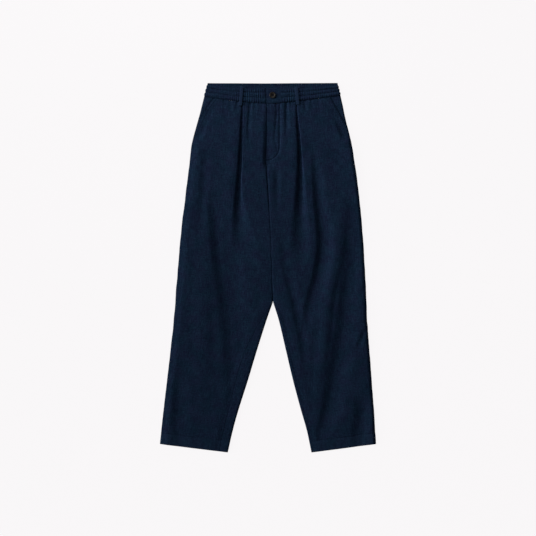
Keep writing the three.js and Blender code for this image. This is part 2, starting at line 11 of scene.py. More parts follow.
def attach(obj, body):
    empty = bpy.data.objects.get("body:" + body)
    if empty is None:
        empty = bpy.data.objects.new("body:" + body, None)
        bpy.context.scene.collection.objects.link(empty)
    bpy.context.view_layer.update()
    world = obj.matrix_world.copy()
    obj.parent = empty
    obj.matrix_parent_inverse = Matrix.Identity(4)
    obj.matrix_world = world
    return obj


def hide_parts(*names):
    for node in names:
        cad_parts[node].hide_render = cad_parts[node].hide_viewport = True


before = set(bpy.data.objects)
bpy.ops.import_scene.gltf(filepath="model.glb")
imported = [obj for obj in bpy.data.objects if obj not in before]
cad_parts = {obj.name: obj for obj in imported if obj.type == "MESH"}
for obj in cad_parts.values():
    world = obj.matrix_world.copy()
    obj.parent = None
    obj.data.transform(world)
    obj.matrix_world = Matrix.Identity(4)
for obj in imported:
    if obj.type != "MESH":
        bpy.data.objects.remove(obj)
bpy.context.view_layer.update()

MM = 0.001
QUARTER = math.pi / 2


def add(name, data):
    """A mesh, light or camera as an object in the scene."""
    made = bpy.data.objects.new(name, data)
    bpy.context.scene.collection.objects.link(made)
    return made


def mesh_from(name, bm):
    """The mesh of a bmesh that is done."""
    mesh = bpy.data.meshes.new(name)
    bm.to_mesh(mesh)
    bm.free()
    return mesh


# Camera: straight above the garment, as in the photograph
PICTURE = 536
MM_PER_PIXEL = 2.704
LENS = 85
SENSOR = 36
PICTURE_CENTRE = (0.0, -1.1)  # where the middle of the picture falls on the garment, mm
CLOTH_HEIGHT = 6.5  # the height that the scale holds at, mm

camera_data = bpy.data.cameras.new("camera")
camera_data.lens = LENS
camera_data.sensor_width = SENSOR
camera = add("camera", camera_data)
field = PICTURE * MM_PER_PIXEL * MM
away = CLOTH_HEIGHT * MM + field * LENS / SENSOR
camera.location = (PICTURE_CENTRE[0] * MM, PICTURE_CENTRE[1] * MM, away)
bpy.context.scene.camera = camera

# Walls and seams, mm
CLOTH = 1.3
EDGE = 3.25  # radius of the leg's folded sides
SEAM_GAP = 0.3
SEAM_MEET = 0.03
SEAM_SHIFT = 0.45  # how far the right front reaches over at the seam below the fly
SEAM_LAP = (0.5, 0.05)  # how far the legs' sides stand apart, at the crotch and below it
SEAM_DITCH = {"deep": 0.7, "half": 3, "least": 0.5}
DITCH_UPPER = {"deep": 2.2, "rows": (120, 220)}
DITCH_CROTCH = {"deep": 0.9, "rows": (-60, 0)}
HEM_CLOTH = 2.4
HEM_DEEP = 29
HEM_DITCH = {"deep": 0.7, "wide": (5, 2.5)}
HEM_SOFT = (4, 14)
ROUND = 1.1  # how softly a cut and folded edge is rounded
INSEAM_ROUND = {"right": 0.25, "left": 0.45}
BACK_ROUND = {"right": 0.3, "left": 0.95}
BACK_ROOM = 3.6  # how deep a fold in front leaves no room for one behind

# Heights on the garment's own y, mm
WAIST_Y = 443
BAND_TOP_Y = 486.5
BACK_BAND_TOP_Y = 498.5
FLY_END_Y = 288
CROTCH_Y = -92.5
CROTCH_DIP = 18
HEM_Y = -500
BAND_Y = WAIST_Y + SEAM_GAP / 2
LEG_TOP_Y = WAIST_Y - SEAM_GAP / 2
HEM_LINE_Y = HEM_Y + HEM_DEEP

# How the fronts lie. The air stands under them, and calm strips stay without folds
FOLD_DEEP = 2.45
DARK_WALL = 0.42  # a fold's x is where it looks darkest, this part of its width left of its bottom
AIR_CENTRE = 4.2
AIR_INSIDE = {"right": 0.4, "left": 1.2}
AIR_OUTSIDE = {"right": 4.2, "left": 2.6}
AIR_EDGE = {"right": 22, "left": 9}
AIR_FULL_Y = 120
AIR_WAIST = (310, 444)
AIR_CROTCH = (-80, -20)
AIR_INSEAM = 16
INSEAM_CALM = {"wide": 16, "long": 30, "part": 0.92}
SLANT_CALM = (15, 30)
# Soft unevenness: its height, its pitch along x and y, and its own place in the noise
DRAPES = [(0.45, 52, 120, 11), (0.2, 19, 46, 23)]
SEAM_PUCKER = (0.22, 9, 9, 31)
SIDE_PUCKER = (0.25, 9, 8, 37)
HEM_PUCKER = (0.25, 14, 30, 41)
WRAP_PUCKER = (0.12, 9, 9, 47)
FACING_DRAPE = (0.25, 14, 22, 53)
PUCKER_FADE = 9
EDGE_WAVES = [(0.9, 38, 2.1, 4), (0.35, 11, 5.3, 9)]  # size, pitch and place in the noise
EDGE_STEADY = {"hem": (-470, -440), "waist": (420, 450)}
GATHER = {"deep": 1.35, "skew": 1.7, "pitch": 9.5, "high": 1.4, "long": 26, "seam": (1.3, 6)}
GATHER_DRIFT = {"turn": 2.4, "pitch": 50}
GATHER_STRENGTH = {"least": 0.28, "more": 0.2, "pitch": 24}

# The fly: the left front lies over the right one, mm
FLY_UNDERLAP = 10
FLY_LIFT = 0.4
FLY_SUNK = (0.2, 2.6)
FLY_SWELL = {"high": 0.7, "at": 9, "wide": (9, 16)}
FLY_DROP = 2.2
FLY_CALM = 11
FLY_SLOPE = 44
FLY_FADE = 34
FLY_ENDS = {"calm": (FLY_END_Y - 30, FLY_END_Y - 4), "lap": (FLY_END_Y - 26, FLY_END_Y - 2)}
# Its stitch line: down beside the fly's edge and round to it, as an ellipse at the bottom
FLY_STITCH = {"x": 31.1, "corner_y": 326, "end_x": -3, "end_y": 290}
FLY_GROOVE = {"deep": 1.5, "half": 2.8, "x": 14, "reach": 26, "low": 280}

# Pocket mouths, mm: relief as height, distance in from the mouth and half width
POCKET_STITCHES = (2.4, 7.2)
MOUTH_RELIEF = [(-0.5, inset, 2) for inset in POCKET_STITCHES] + [(0.45, 4.6, 2.4)]
MOUTH_PUCKER = {"high": 0.14, "at": 4, "turn": 0.9}
MOUTH_FULL = 4
FACING_SINK = 2.1
FACING_CLOTH = 1.0
FACING_RISE = {"right": 1.5, "left": 0.2}
FACING_UNDERLAP = 13
FACING_WIDE = 20
FACING_LOW_Y = 332

# Waistband, mm. The stitch lines and tiers are parts of the way up
BAND = 2.6
BAND_ROUND = (1.8, 1.5, 1.0)  # at its lower edge, its top and its end
BACK_BAND = 2.3
BACK_BAND_RISE = 1.6
BACK_BAND_RISES = (0.8, 0.96)
BACK_WAVE = 0.45
BACK_MIDDLE = (80, 130)
BACK_MIDDLE_PART = 0.9
BACK_ROLL = {"radius": 1.0, "under": 0.4}
BACK_TIERS = 5  # sets the back's tiers apart from the front's in the noise
WAVE_PITCH = 6
WAVE = 1.05
WAVE_DRIFT = (1.1, 13, 1, 61)
WAVE_SIZES = (0.45, 10, 1, 67)
BAND_SWELL = (0.18, 26, 0.5, 71)
WAVE_APART = {"tier": 3.7, "side": 1.3}  # in the noise
WAVE_FORM = {"size": 0.85, "ridge": 1.7, "blunt": 0.8}
WAVE_FROM = (-2, 4)
TIER_BULGE = 1.35
TIER_EDGE = 0.1  # how much the gathers show at a tier's edges
TIER_BLUNT = 0.8
TIGHT = (60, 110)
TIGHT_PART = 0.6
TAB = {"reach": 38, "fade": 6, "lift": 1.1, "cloth": 2.1}
UNDERLAP = {"reach": 32, "fade": 7, "lift": -1.3, "cloth": 1.6}
BAND_STITCHES = (0.03, 0.34, 0.7)
BAND_STITCH_WIDE = 0.035
BAND_STITCHED = {"deep": 1.15, "less_on_waves": 0.5, "less_on_tab": 0.5}
BAND_TIERS = ((0.0, 0.34, 1.0), (0.34, 0.7, 0.95), (0.7, 1.0, 0.7))  # from, to and fullness
BACK_BAND_STITCHES = ((0.03, 0.25), (0.36, 0.25), (0.6, 0.25), (0.865, 1.0))  # place and depth
BACK_STITCH_WIDE = 0.03

LOOP = {"wide": 8.8, "cloth": 1.2, "end": 1.6, "slack": 0.4, "seat": 8.3, "crown": 0.125}
LOOP_COLUMNS = np.array([-1, -0.97, -0.88, -0.7, -0.3, 0, 0.3, 0.7, 0.88, 0.97, 1])
LOOP_LEAST = 0.3
# Parts of a loop's length from its end: where it comes off the band, and where its folded end stops
LOOP_OFF = (0.1, 0.34)
LOOP_FOLDED = (0.12, 0.2)
LOOP_ROUND = {"end": 1.0, "side": 0.9}
# A loop's pressed lines along its sides and its bartacks: depth, how far in, and half width
LOOP_LINE = (0.09, 1.5, 0.8)
LOOP_BARTACK = (0.25, 3.5, 2.2)
BUTTON = {"x": 12.2, "y": 466.2, "radius": 8.4, "thick": 3.2, "rim": 1.5, "hole": 0.95, "pitch": 2.5}
BUTTON_THREADS = {"sunk": 0.95, "apart": 0.25, "past": 0.5, "half": 0.2, "high": 0.3}
BUTTON_SEAT = 2 * EDGE + TAB["lift"] + SEAM_GAP

# Rows and columns of the pieces' meshes
FRONT_GRID = (330, 136)
BACK_GRID = (130, 44)
FACING_GRID = (36, 24)
BAND_GRID = (30, 230)
BACK_BAND_GRID = (26, 190)
LOOP_ROWS = 30
CLOSER_SIDES = {"front": 3.0, "back": 7, "facing": 3}
CLOSER_FOLDS = {"bottom": 0.5, "margin": 4, "wall": 0.6, "half": 5, "steep": 6}
CLOSER_FLY = {"by": 2.5, "half": (14, 9), "rows": (230, FLY_STITCH["end_y"])}
# Rows closer together: middle, how much and half the height
CLOSER_ROWS = [(CROTCH_Y, 1.6, 45), (FLY_STITCH["end_y"] + 4, 2.5, 16), (HEM_LINE_Y, 2, 9)]
ARC_SAMPLES = 600
HEIGHT_SAMPLES = 2000
EDGE_COLUMNS = np.array([0, 0.12, 0.4, ROUND])
FOLD_IN = (0, 0.004, 0.012, 0.03)
FOLD_OUT = (0.97, 0.988, 0.996, 1)

# Outer edges, columns: y, wearer's right, wearer's left
OUTER = [
    (500, -163, 188), (451.8, -175.5, 199.4), (397.8, -189.3, 211), (343.7, -204.6, 224),
    (235.5, -218.1, 241.1), (100.3, -234.9, 255.7), (-61.9, -248.7, 265.3), (-143, -255.1, 268.5),
    (-305.3, -273.4, 280.8), (-386.4, -283, 286.9), (-477, -292.5, 292.5),
]
# Centre front and centre back seam, columns: y, x
CENTRE = [(500, -5), (446, -3), (345, -3), (288, -4.6), (231, -1.1), (172, 2.7), (50, 9), (-92.5, 13.5)]
# Inner edges below the crotch, columns: y, wearer's right, wearer's left
INNER = [
    (-92.5, 13.5, 13.5), (-143, -4.2, 29.4), (-224.2, -30, 48.6), (-305.3, -54.4, 67.8),
    (-386.4, -80.2, 89.5), (-440.5, -95.2, 105), (-500, -108.7, 117.6),
]
# Rows of the garment, columns: inner y, outer y right and left, sag
LEVELS = [(486.5, 494.5, 493, 4.5), (443, 462.5, 465.5, 2.6), (330, 347.7, 350.5, 0), (-500, -477, -477, 0)]
BACK_LEVELS = [(498.5, 499.4, 500, 0), (443, 462.5, 465.5, 2.6)]
# How far the back wraps over each inner edge, columns: inner y, wearer's right, wearer's left
WRAP = [
    (-92.5, 0, 0), (-104, 4, 8), (-131, 13, 13), (-225, 31, 11), (-309, 32, 10), (-412, 26, 8),
    (-500, 24, 6),
]
# Pocket mouth, distance in from the outer edge, columns: outer y, wearer's right, wearer's left
SLANT = [(465, 29.5, 29.5), (445, 19, 23), (415, 9.5, 13.5), (386, 4.4, 4.2), (364, 2, 1.6), (345, 0, 0)]

# Troughs, and ridges where the depth is below 0.
# Columns: y, x, half width to -X, half width to +X, depth
FRONT_FOLDS = {
    "right": {
        "pleat": [
            (436, -70.5, 5, 2.4, 0.9), (400, -72.4, 7, 2.4, 2.2), (337, -74.4, 9, 3, 3.6),
            (280, -77.6, 11, 4.6, 3.8), (220, -82, 12, 7, 3.6), (164, -85.5, 18, 18, 3),
            (107, -86, 25, 36, 2.4), (55, -85, 30, 48, 1.8), (0, -84, 34, 50, 0.9), (-50, -84, 30, 40, 0),
        ],
        "pleat ridge": [
            (430, -92, 18, 12, 0), (337, -98, 24, 14, -0.5), (220, -110, 26, 16, -0.5),
            (110, -112, 26, 16, 0),
        ],
        "front wrinkle": [
            (446, -50.8, 5, 9, 1.1), (415, -53, 5, 10, 0.8), (360, -56, 6, 12, 0.5), (325, -50, 6, 12, 0),
        ],
        "long trough": [
            (245, -161, 24, 44, 0), (142, -152, 26, 50, 1.6), (47, -143, 28, 58, 2.4),
            (-52, -128, 34, 72, 2.3), (-155, -114, 34, 74, 1.8), (-255, -108, 28, 50, 1.1),
            (-335, -104, 24, 34, 0),
        ],
        "soft trough": [
            (210, -112, 24, 24, 0), (140, -112, 26, 28, 0.5), (40, -108, 28, 32, 0.8),
            (-60, -100, 26, 32, 0.3), (-120, -96, 24, 28, 0),
        ],
        "hip trough": [
            (330, -172, 14, 16, 0), (250, -178, 16, 18, 0.9), (150, -186, 18, 18, 0.6),
            (60, -196, 18, 18, 0),
        ],
        "shin trough": [
            (-250, -240, 20, 26, 0), (-310, -248, 24, 34, 0.7), (-380, -251, 24, 38, 1.2),
            (-455, -250, 24, 40, 0.8), (-500, -250, 22, 34, 0.4),
        ],
        "knee ridge": [
            (60, -190, 30, 30, 0), (-100, -190, 34, 34, -0.8), (-300, -190, 34, 34, -0.3),
            (-420, -190, 30, 30, 0),
        ],
    },
    "left": {
        "pleat": [
            (430, 76.2, 5, 2.4, 0.8), (391, 78.4, 7, 2.8, 2.1), (329, 83, 9, 4.6, 3.7),
            (266, 84, 12, 8, 3.7), (207, 82, 16, 15, 3.4), (145, 79, 24, 20, 2.7), (83, 77, 32, 28, 2.1),
            (30, 74, 30, 28, 1), (-20, 70, 24, 20, 0),
        ],
        "pleat ridge": [
            (420, 64, 14, 10, 0), (329, 62, 18, 12, -0.4), (240, 60, 20, 12, -0.4), (140, 58, 20, 12, 0),
        ],
        "fly flap": [(446, 24, 20, 6, 0.5), (330, 24, 20, 6, 0.5), (296, 19, 16, 8, 0)],
        "fly wrinkle": [
            (430, 24, 5, 4, 0), (418, 22, 6, 4, 0.4), (347, 16, 6, 4, 0.4), (329, 21, 6, 4, 0.3),
            (312, 24, 5, 4, 0),
        ],
        "seam trough": [
            (280, 20, 10, 8, 0), (240, 20, 14, 10, 0.8), (190, 20, 14, 10, 0.7), (130, 22, 14, 10, 0),
        ],
        "inner wrinkle": [(446, 46.8, 6, 10, 1.3), (390, 46.8, 6, 11, 0.8), (345, 47, 7, 12, 0)],
        "second trough": [
            (330, 121, 12, 16, 0), (237, 125, 15, 24, 1.4), (174, 129.8, 18, 28, 2.1),
            (112, 137, 20, 32, 2.4), (50, 139, 22, 34, 2.5), (-20, 128, 22, 36, 2.2),
            (-66, 115, 22, 34, 1.7), (-128, 101, 18, 28, 1.1), (-210, 86, 16, 16, 0),
        ],
        "long trough": [
            (230, 214, 14, 22, 0), (163, 217, 18, 26, 0.5), (47, 215, 26, 34, 1.2), (-52, 205, 28, 40, 1.7),
            (-155, 195, 30, 46, 1.8), (-241, 180, 30, 48, 1.8), (-344, 161, 28, 48, 1.9),
            (-400, 150, 26, 44, 1.7), (-440, 140, 24, 32, 0.8), (-485, 130, 18, 18, 0),
        ],
        "inner trough": [
            (110, 34, 16, 30, 0), (50, 36, 18, 36, 0.6), (0, 44, 18, 30, 0.9), (-40, 52, 18, 22, 1),
            (-128, 73, 16, 20, 1), (-222, 90, 14, 18, 0.6), (-290, 100, 12, 14, 0),
        ],
        "hip ridge": [
            (440, 190, 50, 14, 0), (380, 200, 70, 16, -1.3), (260, 217, 80, 20, -1.7),
            (170, 226, 80, 20, -1), (90, 232, 60, 20, 0),
        ],
        "long ridge": [
            (200, 178, 26, 22, 0), (60, 178, 28, 22, -1.2), (-100, 152, 26, 20, -1.3),
            (-250, 136, 24, 20, -1), (-380, 118, 16, 18, 0),
        ],
        "shin trough": [
            (-330, 244, 24, 28, 0), (-400, 242, 30, 30, 1.7), (-450, 238, 32, 30, 1.6),
            (-500, 236, 30, 28, 0.5),
        ],
        "knee crease": [
            (-160, 262, 8, 10, 0), (-178, 255, 10, 10, 0.6), (-205, 244, 12, 10, 0.6),
            (-232, 230, 12, 12, 0),
        ],
        "thigh crease": [(-40, 258, 10, 8, 0), (-60, 254, 12, 8, 0.5), (-82, 246, 12, 10, 0)],
    },
}
# Soft folds of the hidden backs, raised off the floor. Same columns
BACK_FOLDS = {
    "right": {
        "seat fold": [
            (330, -60, 16, 20, 0), (220, -72, 18, 22, 0.9), (80, -70, 20, 20, 1), (-60, -50, 18, 18, 0),
        ],
        "thigh fold": [
            (60, -170, 22, 24, 0), (-60, -168, 24, 26, 1.1), (-230, -186, 22, 24, 0.9),
            (-380, -206, 20, 20, 0),
        ],
        "calf fold": [(-180, -120, 16, 18, 0), (-290, -140, 18, 20, 0.8), (-410, -160, 18, 18, 0)],
    },
    "left": {
        "seat fold": [
            (340, 70, 18, 16, 0), (200, 88, 20, 18, 1), (70, 84, 22, 20, 0.9), (-50, 70, 18, 16, 0),
        ],
        "thigh fold": [
            (40, 176, 22, 22, 0), (-90, 190, 24, 22, 1), (-250, 206, 22, 22, 0.8), (-370, 222, 18, 18, 0),
        ],
        "calf fold": [(-200, 140, 16, 16, 0), (-300, 150, 18, 18, 0.9), (-420, 166, 18, 16, 0)],
    },
}
# Gathers under the waist seam, columns: x, half width, depth, length
GATHERS = {
    "right": [
        (-132, 7, 0.8, 34), (-118, 7, 1, 44), (-103, 7, 1.1, 40), (-84, 7, 1.3, 30), (-37, 7, 1, 46),
        (-20, 7, 0.9, 40),
    ],
    "left": [
        (22, 6, 0.9, 50), (62, 7, 1.1, 44), (100, 7, 1.1, 46), (117, 7, 1, 42), (135, 8, 0.9, 40),
        (153, 8, 0.7, 32),
    ],
}
# Belt loops in front, columns: name, x at the top, x at the bottom, top y, bottom y
FRONT_LOOPS = [
    ("belt_loop_front_right", -70, -74.8, 490.8, 437.8), ("belt_loop_front_left", 77, 81, 488.5, 440.6),
]
# Belt loops behind, columns: name, x, bottom y
BACK_LOOPS = [
    ("belt_loop_back_right", -106, 457), ("belt_loop_back_middle", 12, 449.5),
    ("belt_loop_back_left", 130, 461),
]
BACK_LOOP = {"top": 493, "recess": 1.9, "half": 8, "ramp": 4}


def through(rows, column):
    """A smooth curve through one column of a table whose first column falls from row to row."""
    at = np.array([row[0] for row in rows], float)
    value = np.array([row[column] for row in rows], float)
    last = len(at) - 1
    before = np.clip(np.arange(last + 1) - 1, 0, last)
    after = np.clip(np.arange(last + 1) + 1, 0, last)
    slope = (value[after] - value[before]) / (at[after] - at[before])

    def curve(y):
        y = np.clip(y, at[-1], at[0])
        i = np.clip(np.searchsorted(-at, -y, side="right") - 1, 0, last - 1)
        span = at[i + 1] - at[i]
        t = (y - at[i]) / span
        rise = value[i + 1] - value[i]
        bend = t * (1 - t) * ((1 - t) * (slope[i] * span - rise) - t * (slope[i + 1] * span - rise))
        return value[i] + rise * t + bend

    return curve


def step(value, low, high):
    """0 below low, 1 above high and smooth between."""
    t = np.clip((value - low) / (high - low), 0, 1)
    return t * t * (3 - 2 * t)


def bump(distance, minus, plus=None):
    """1 in the middle of a fold and 0 at its sides, smoothly."""
    t = distance / np.where(distance < 0, minus, minus if plus is None else plus)
    return np.where(np.abs(t) < 1, (1 - t * t) ** 2, 0)


def uneven(kind, x, y):
    """Smooth unevenness over arrays of places, the same at every run."""
    high, wide, long, seed = kind
    x, y = np.broadcast_arrays(x / wide, y / long)
    values = [noise.noise(Vector((a, b, seed))) for a, b in zip(x.ravel(), y.ravel())]
    return high * np.reshape(values, x.shape)


class Side:
    """One leg of the garment: its outlines, folds and gathers."""

    def __init__(self, name, column, sign):
        self.name = name
        self.sign = sign
        self.over = name == "left"
        self.outer = through(OUTER, column)
        self.inner = through(INNER, column)
        self.wrap = through(WRAP, column)
        self.air_inside = AIR_INSIDE[name]
        self.air_outside = AIR_OUTSIDE[name]
        self.slant = through(SLANT, column)
        self.level = through(LEVELS, column)
        self.back_level = through(BACK_LEVELS, column)
        self.folds = self.curves(FRONT_FOLDS[name])
        self.back_folds = self.curves(BACK_FOLDS[name])
        self.gathers = GATHERS[name]

    @staticmethod
    def curves(folds):
        return [[through(rows, column) for column in (1, 2, 3, 4)] for rows in folds.values()]


SIDES = [Side("right", 1, -1), Side("left", 2, 1)]
centre_x = through(CENTRE, 1)
sag = through(LEVELS, 3)
back_sag = through(BACK_LEVELS, 3)


class Row:
    """One row of the flattened garment, from the inner edge over the top to the outer edge."""

    def __init__(self, side, inner_y, back_band=False):
        self.side = side
        self.inner_y = inner_y
        self.outer_y = float((side.back_level if back_band else side.level)(inner_y))
        self.dip = float((back_sag if back_band else sag)(inner_y))
        self.turn = QUARTER * min(max((CROTCH_Y + CROTCH_DIP - inner_y) / CROTCH_DIP, 0), 1)
        inner_x = float(side.inner(inner_y) if inner_y < CROTCH_Y else centre_x(inner_y))
        lap = SEAM_LAP[0] + (SEAM_LAP[1] - SEAM_LAP[0]) * self.turn / QUARTER
        inner_x -= side.sign * lap * math.sin(self.turn)
        self.inner = np.array([inner_x, inner_y])
        outer_x = float(side.outer(self.outer_y)) + side.sign * edge_wander(side, self.outer_y)
        out = np.array([outer_x, self.outer_y]) - self.inner
        self.width = float(np.hypot(*out))
        self.along = out / self.width
        self.reach = EDGE * math.sin(self.turn)
        self.inner_arc = EDGE * self.turn
        self.flat_end = self.inner_arc + self.width - self.reach - EDGE
        self.length = self.flat_end + EDGE * QUARTER

    def spot(self, arc):
        """Distance across, sideways tilt and upward part of the surface's normal at an arc length."""
        inner_angle = np.where(self.turn > 0, np.clip(self.turn - arc / EDGE, 0, QUARTER), 0)
        outer_angle = np.clip((arc - self.flat_end) / EDGE, 0, QUARTER)
        angle = outer_angle - inner_angle
        middle = self.reach + arc - self.inner_arc
        across = np.where(inner_angle > 0, self.reach - EDGE * np.sin(inner_angle), middle)
        across = np.where(outer_angle > 0, self.width - EDGE + EDGE * np.sin(outer_angle), across)
        return across, np.sin(angle), np.cos(angle)

    def place(self, arc, height=0.0, top=True):
        """Points at a height out from the surface, on its top or underneath, mm."""
        across, tilt, rise = self.spot(arc)
        across_out = across + tilt * height
        up = rise * (EDGE + height)
        drop = self.dip * np.sin(math.pi * np.clip(np.abs(across) / self.width, 0, 1))
        x = self.inner[0] + self.along[0] * across_out
        y = self.inner[1] + self.along[1] * np.abs(across_out) - drop
        return np.stack([x, y, EDGE + np.where(top, up, -up)], axis=-1)


def edge_wander(side, y):
    """The outer edge's small unevenness, with none at the waist and the hem."""
    fade = float(step(y, *EDGE_STEADY["hem"]) * (1 - step(y, *EDGE_STEADY["waist"])))
    waves = [
        size * noise.noise(Vector((y / pitch, place * side.sign, float(seed))))
        for size, pitch, place, seed in EDGE_WAVES
    ]
    return fade * sum(waves)


def arc_from_edge(inset):
    if inset < EDGE:
        return EDGE * math.acos(1 - inset / EDGE)
    return EDGE * QUARTER + inset - EDGE


def spread(start, end, count, weight):
    """Arc lengths from start to end, closer together where the weight is larger."""
    middle = start + (end - start) * (np.arange(ARC_SAMPLES) + 0.5) / ARC_SAMPLES
    sums = np.concatenate([[0], np.cumsum(weight(middle))])
    return np.interp(np.linspace(0, sums[-1], count), sums, np.linspace(start, end, ARC_SAMPLES + 1))


def folded(distance, radius=ROUND):
    """How far a folded edge rolls down at a distance from it."""
    inside = np.clip(radius - distance, 0, radius)
    return radius - np.sqrt(radius**2 - inside**2)


def with_edges(arcs, start, end):
    """Adds the few columns that round a folded edge off at each end."""
    return np.concatenate([start + EDGE_COLUMNS, arcs[1:-1], end - EDGE_COLUMNS[::-1]])


def fold_height(folds, x, y):
    height = np.zeros_like(x)
    for at, minus, plus, depth in folds:
        bottom = at(y) + DARK_WALL * minus(y)
        height -= FOLD_DEEP * depth(y) * bump(x - bottom, minus(y), plus(y))
    return height


def fly_part(inner_y):
    """1 beside the fly and 0 below it."""
    return float(step(inner_y, *FLY_ENDS["calm"]))


def air(row, across):
    """How far the front stands up from its back on the air between them, along a row."""
    side = row.side
    at_centre = step(row.inner_y, CROTCH_Y, AIR_FULL_Y)
    inside = side.air_inside + (AIR_CENTRE - side.air_inside) * at_centre
    height = inside + (side.air_outside - inside) * (across / row.width)
    from_waist = 1 - step(row.inner_y, *AIR_WAIST)
    from_inside = np.maximum(step(across, 0, AIR_INSEAM), step(row.inner_y, *AIR_CROTCH))
    if side.over:
        from_inside = from_inside * (1 - fly_part(row.inner_y) * (1 - step(across, 0, FLY_SLOPE)))
    return height * from_waist * from_inside * step(row.width - across, 0, AIR_EDGE[side.name])


def held_above(height, floor):
    """The height, eased so that it never sinks below a floor."""
    return 0.5 * (height + floor + np.sqrt((height - floor) ** 2 + 0.25))


def gather_height(side, x, below):
    """Gathers under the waist seam: the strong ones listed, and small ones between them."""
    height = np.zeros_like(x)
    for at, half, depth, length in side.gathers:
        shown = np.clip(1 - below / length, 0, 1)
        height -= GATHER["deep"] * depth * shown * bump(x - at, half, GATHER["skew"] * half)
    place = Vector((x.mean() / GATHER_DRIFT["pitch"], 1.0, side.sign))
    drift = GATHER_DRIFT["turn"] * noise.noise(place)
    phase = 2 * math.pi * x / GATHER["pitch"] + drift
    more = uneven((GATHER_STRENGTH["more"], GATHER_STRENGTH["pitch"], 1, side.sign), x, 3.0)
    strength = GATHER_STRENGTH["least"] + more
    small = GATHER["high"] * strength * np.cos(phase) * np.clip(1 - below / GATHER["long"], 0, 1) ** 1.5
    seam, half = GATHER["seam"]
    return height + small - seam * float(bump(np.array(below), half))


def fly_lift(side, inner_y, across):
    """The fly's lap: the under front swells and then dips beside it, and the over front lies on it."""
    height = step(inner_y, *FLY_ENDS["lap"])
    if side.over:
        return FLY_LIFT * height * (1 - step(across, FLY_CALM, FLY_FADE))
    swell = FLY_SWELL["high"] * bump(across - FLY_SWELL["at"], *FLY_SWELL["wide"])
    return height * (swell - FLY_DROP * (1 - step(across, *FLY_SUNK)))


def fly_stitch(pitch):
    """Points of the fly's stitch line, mm."""
    s = FLY_STITCH
    straight = [(s["x"], y) for y in np.arange(WAIST_Y - 3, s["corner_y"], -pitch)]
    wide = s["x"] - s["end_x"]
    high = s["corner_y"] - s["end_y"]
    count = int(QUARTER * math.hypot(wide, high) / math.sqrt(2) / pitch)
    turns = np.linspace(0, QUARTER, count)
    bend = [(s["end_x"] + wide * math.cos(a), s["corner_y"] - high * math.sin(a)) for a in turns]
    return np.array(straight + bend)


FLY_STITCH_POINTS = fly_stitch(pitch=2.0)


def stitch_groove(x, y):
    """The fly front's slight groove along its stitch line."""
    g = FLY_GROOVE
    near = (np.abs(x - g["x"]) < g["reach"]) & (y > g["low"])
    groove = np.zeros_like(x)
    if near.any():
        away = np.hypot(*(np.stack([x[near], y[near]])[:, :, None] - FLY_STITCH_POINTS.T[:, None]))
        groove[near] = g["deep"] * bump(away.min(axis=1), g["half"])
    return groove


def cloth_at(inner_y):
    """The wall's thickness, nearly doubled at the hem."""
    return CLOTH + (HEM_CLOTH - CLOTH) * float(1 - step(inner_y, HEM_LINE_Y - 1.5, HEM_LINE_Y + 1.5))


def front_start(side, row):
    """Where a row of the front begins on its inner side."""
    if row.inner_y < CROTCH_Y:
        return arc_from_edge(float(side.wrap(row.inner_y))) + SEAM_MEET
    if row.inner_y > FLY_END_Y:
        return 0.0 if side.over else -float(FLY_UNDERLAP)
    shift = SEAM_SHIFT * (1 - row.turn / QUARTER)
    return SEAM_MEET - side.sign * shift


def front_relief(side, row, arc, start, end, mouth):
    """Relief and lift of the front's outer face along a row, and how far its edges roll down."""
    across, _, rise = row.spot(arc)
    x, y, _ = row.place(arc).T
    open_part = min(mouth / MOUTH_FULL, 1)
    at_fly = fly_part(row.inner_y)
    below_crotch = INSEAM_CALM["part"] * step(CROTCH_Y - row.inner_y, 0, INSEAM_CALM["long"])
    calm = rise**2 * (1 - open_part * (1 - step(end - arc, *SLANT_CALM)))
    calm = calm * (1 - at_fly * (1 - step(across, 0, FLY_CALM)))
    calm = calm * (1 - below_crotch * (1 - step(arc - start, 0, INSEAM_CALM["wide"])))
    folds = fold_height(side.folds, x, y) + gather_height(side, x, WAIST_Y - row.inner_y)
    drape = sum(uneven(kind, x, y) for kind in DRAPES)
    seam = uneven(SEAM_PUCKER, across, y) * np.exp(-np.abs(arc - start) / PUCKER_FADE)
    side_seam = uneven(SIDE_PUCKER, x, y) * np.exp(-(end - arc) / PUCKER_FADE)
    relief = (folds + drape + seam + side_seam + air(row, across)) * calm
    if side.over:
        relief = relief - stitch_groove(x, y)
    for high, inset, half in MOUTH_RELIEF:
        relief = relief + high * open_part * bump(end - arc - inset, half)
    pucker = MOUTH_PUCKER["high"] * open_part * np.sin(y * MOUTH_PUCKER["turn"])
    relief = relief - pucker * bump(end - arc - MOUTH_PUCKER["at"], MOUTH_PUCKER["at"])
    if row.inner_y > CROTCH_Y:
        upper = DITCH_UPPER["deep"] * step(row.inner_y, *DITCH_UPPER["rows"])
        lower = DITCH_CROTCH["deep"] * (1 - step(row.inner_y, *DITCH_CROTCH["rows"]))
        deep = SEAM_DITCH["least"] + upper + lower
        relief = relief - SEAM_DITCH["deep"] * deep * (1 - at_fly) * bump(across, SEAM_DITCH["half"])
    relief = relief - HEM_DITCH["deep"] * bump(np.array(row.inner_y - HEM_LINE_Y), *HEM_DITCH["wide"])
    in_hem = 1 - step(row.inner_y, HEM_Y + HEM_SOFT[0], HEM_LINE_Y + HEM_SOFT[1])
    relief = relief + uneven(HEM_PUCKER, x, y) * in_hem
    floor = 2 * cloth_at(row.inner_y) + SEAM_GAP - 2 * EDGE
    lift = fly_lift(side, row.inner_y, across)
    seam_round = ROUND if CROTCH_Y < row.inner_y < FLY_END_Y else INSEAM_ROUND[side.name]
    edges = folded(arc - start, seam_round) + folded(end - arc) * open_part
    return held_above(relief, floor), lift, edges


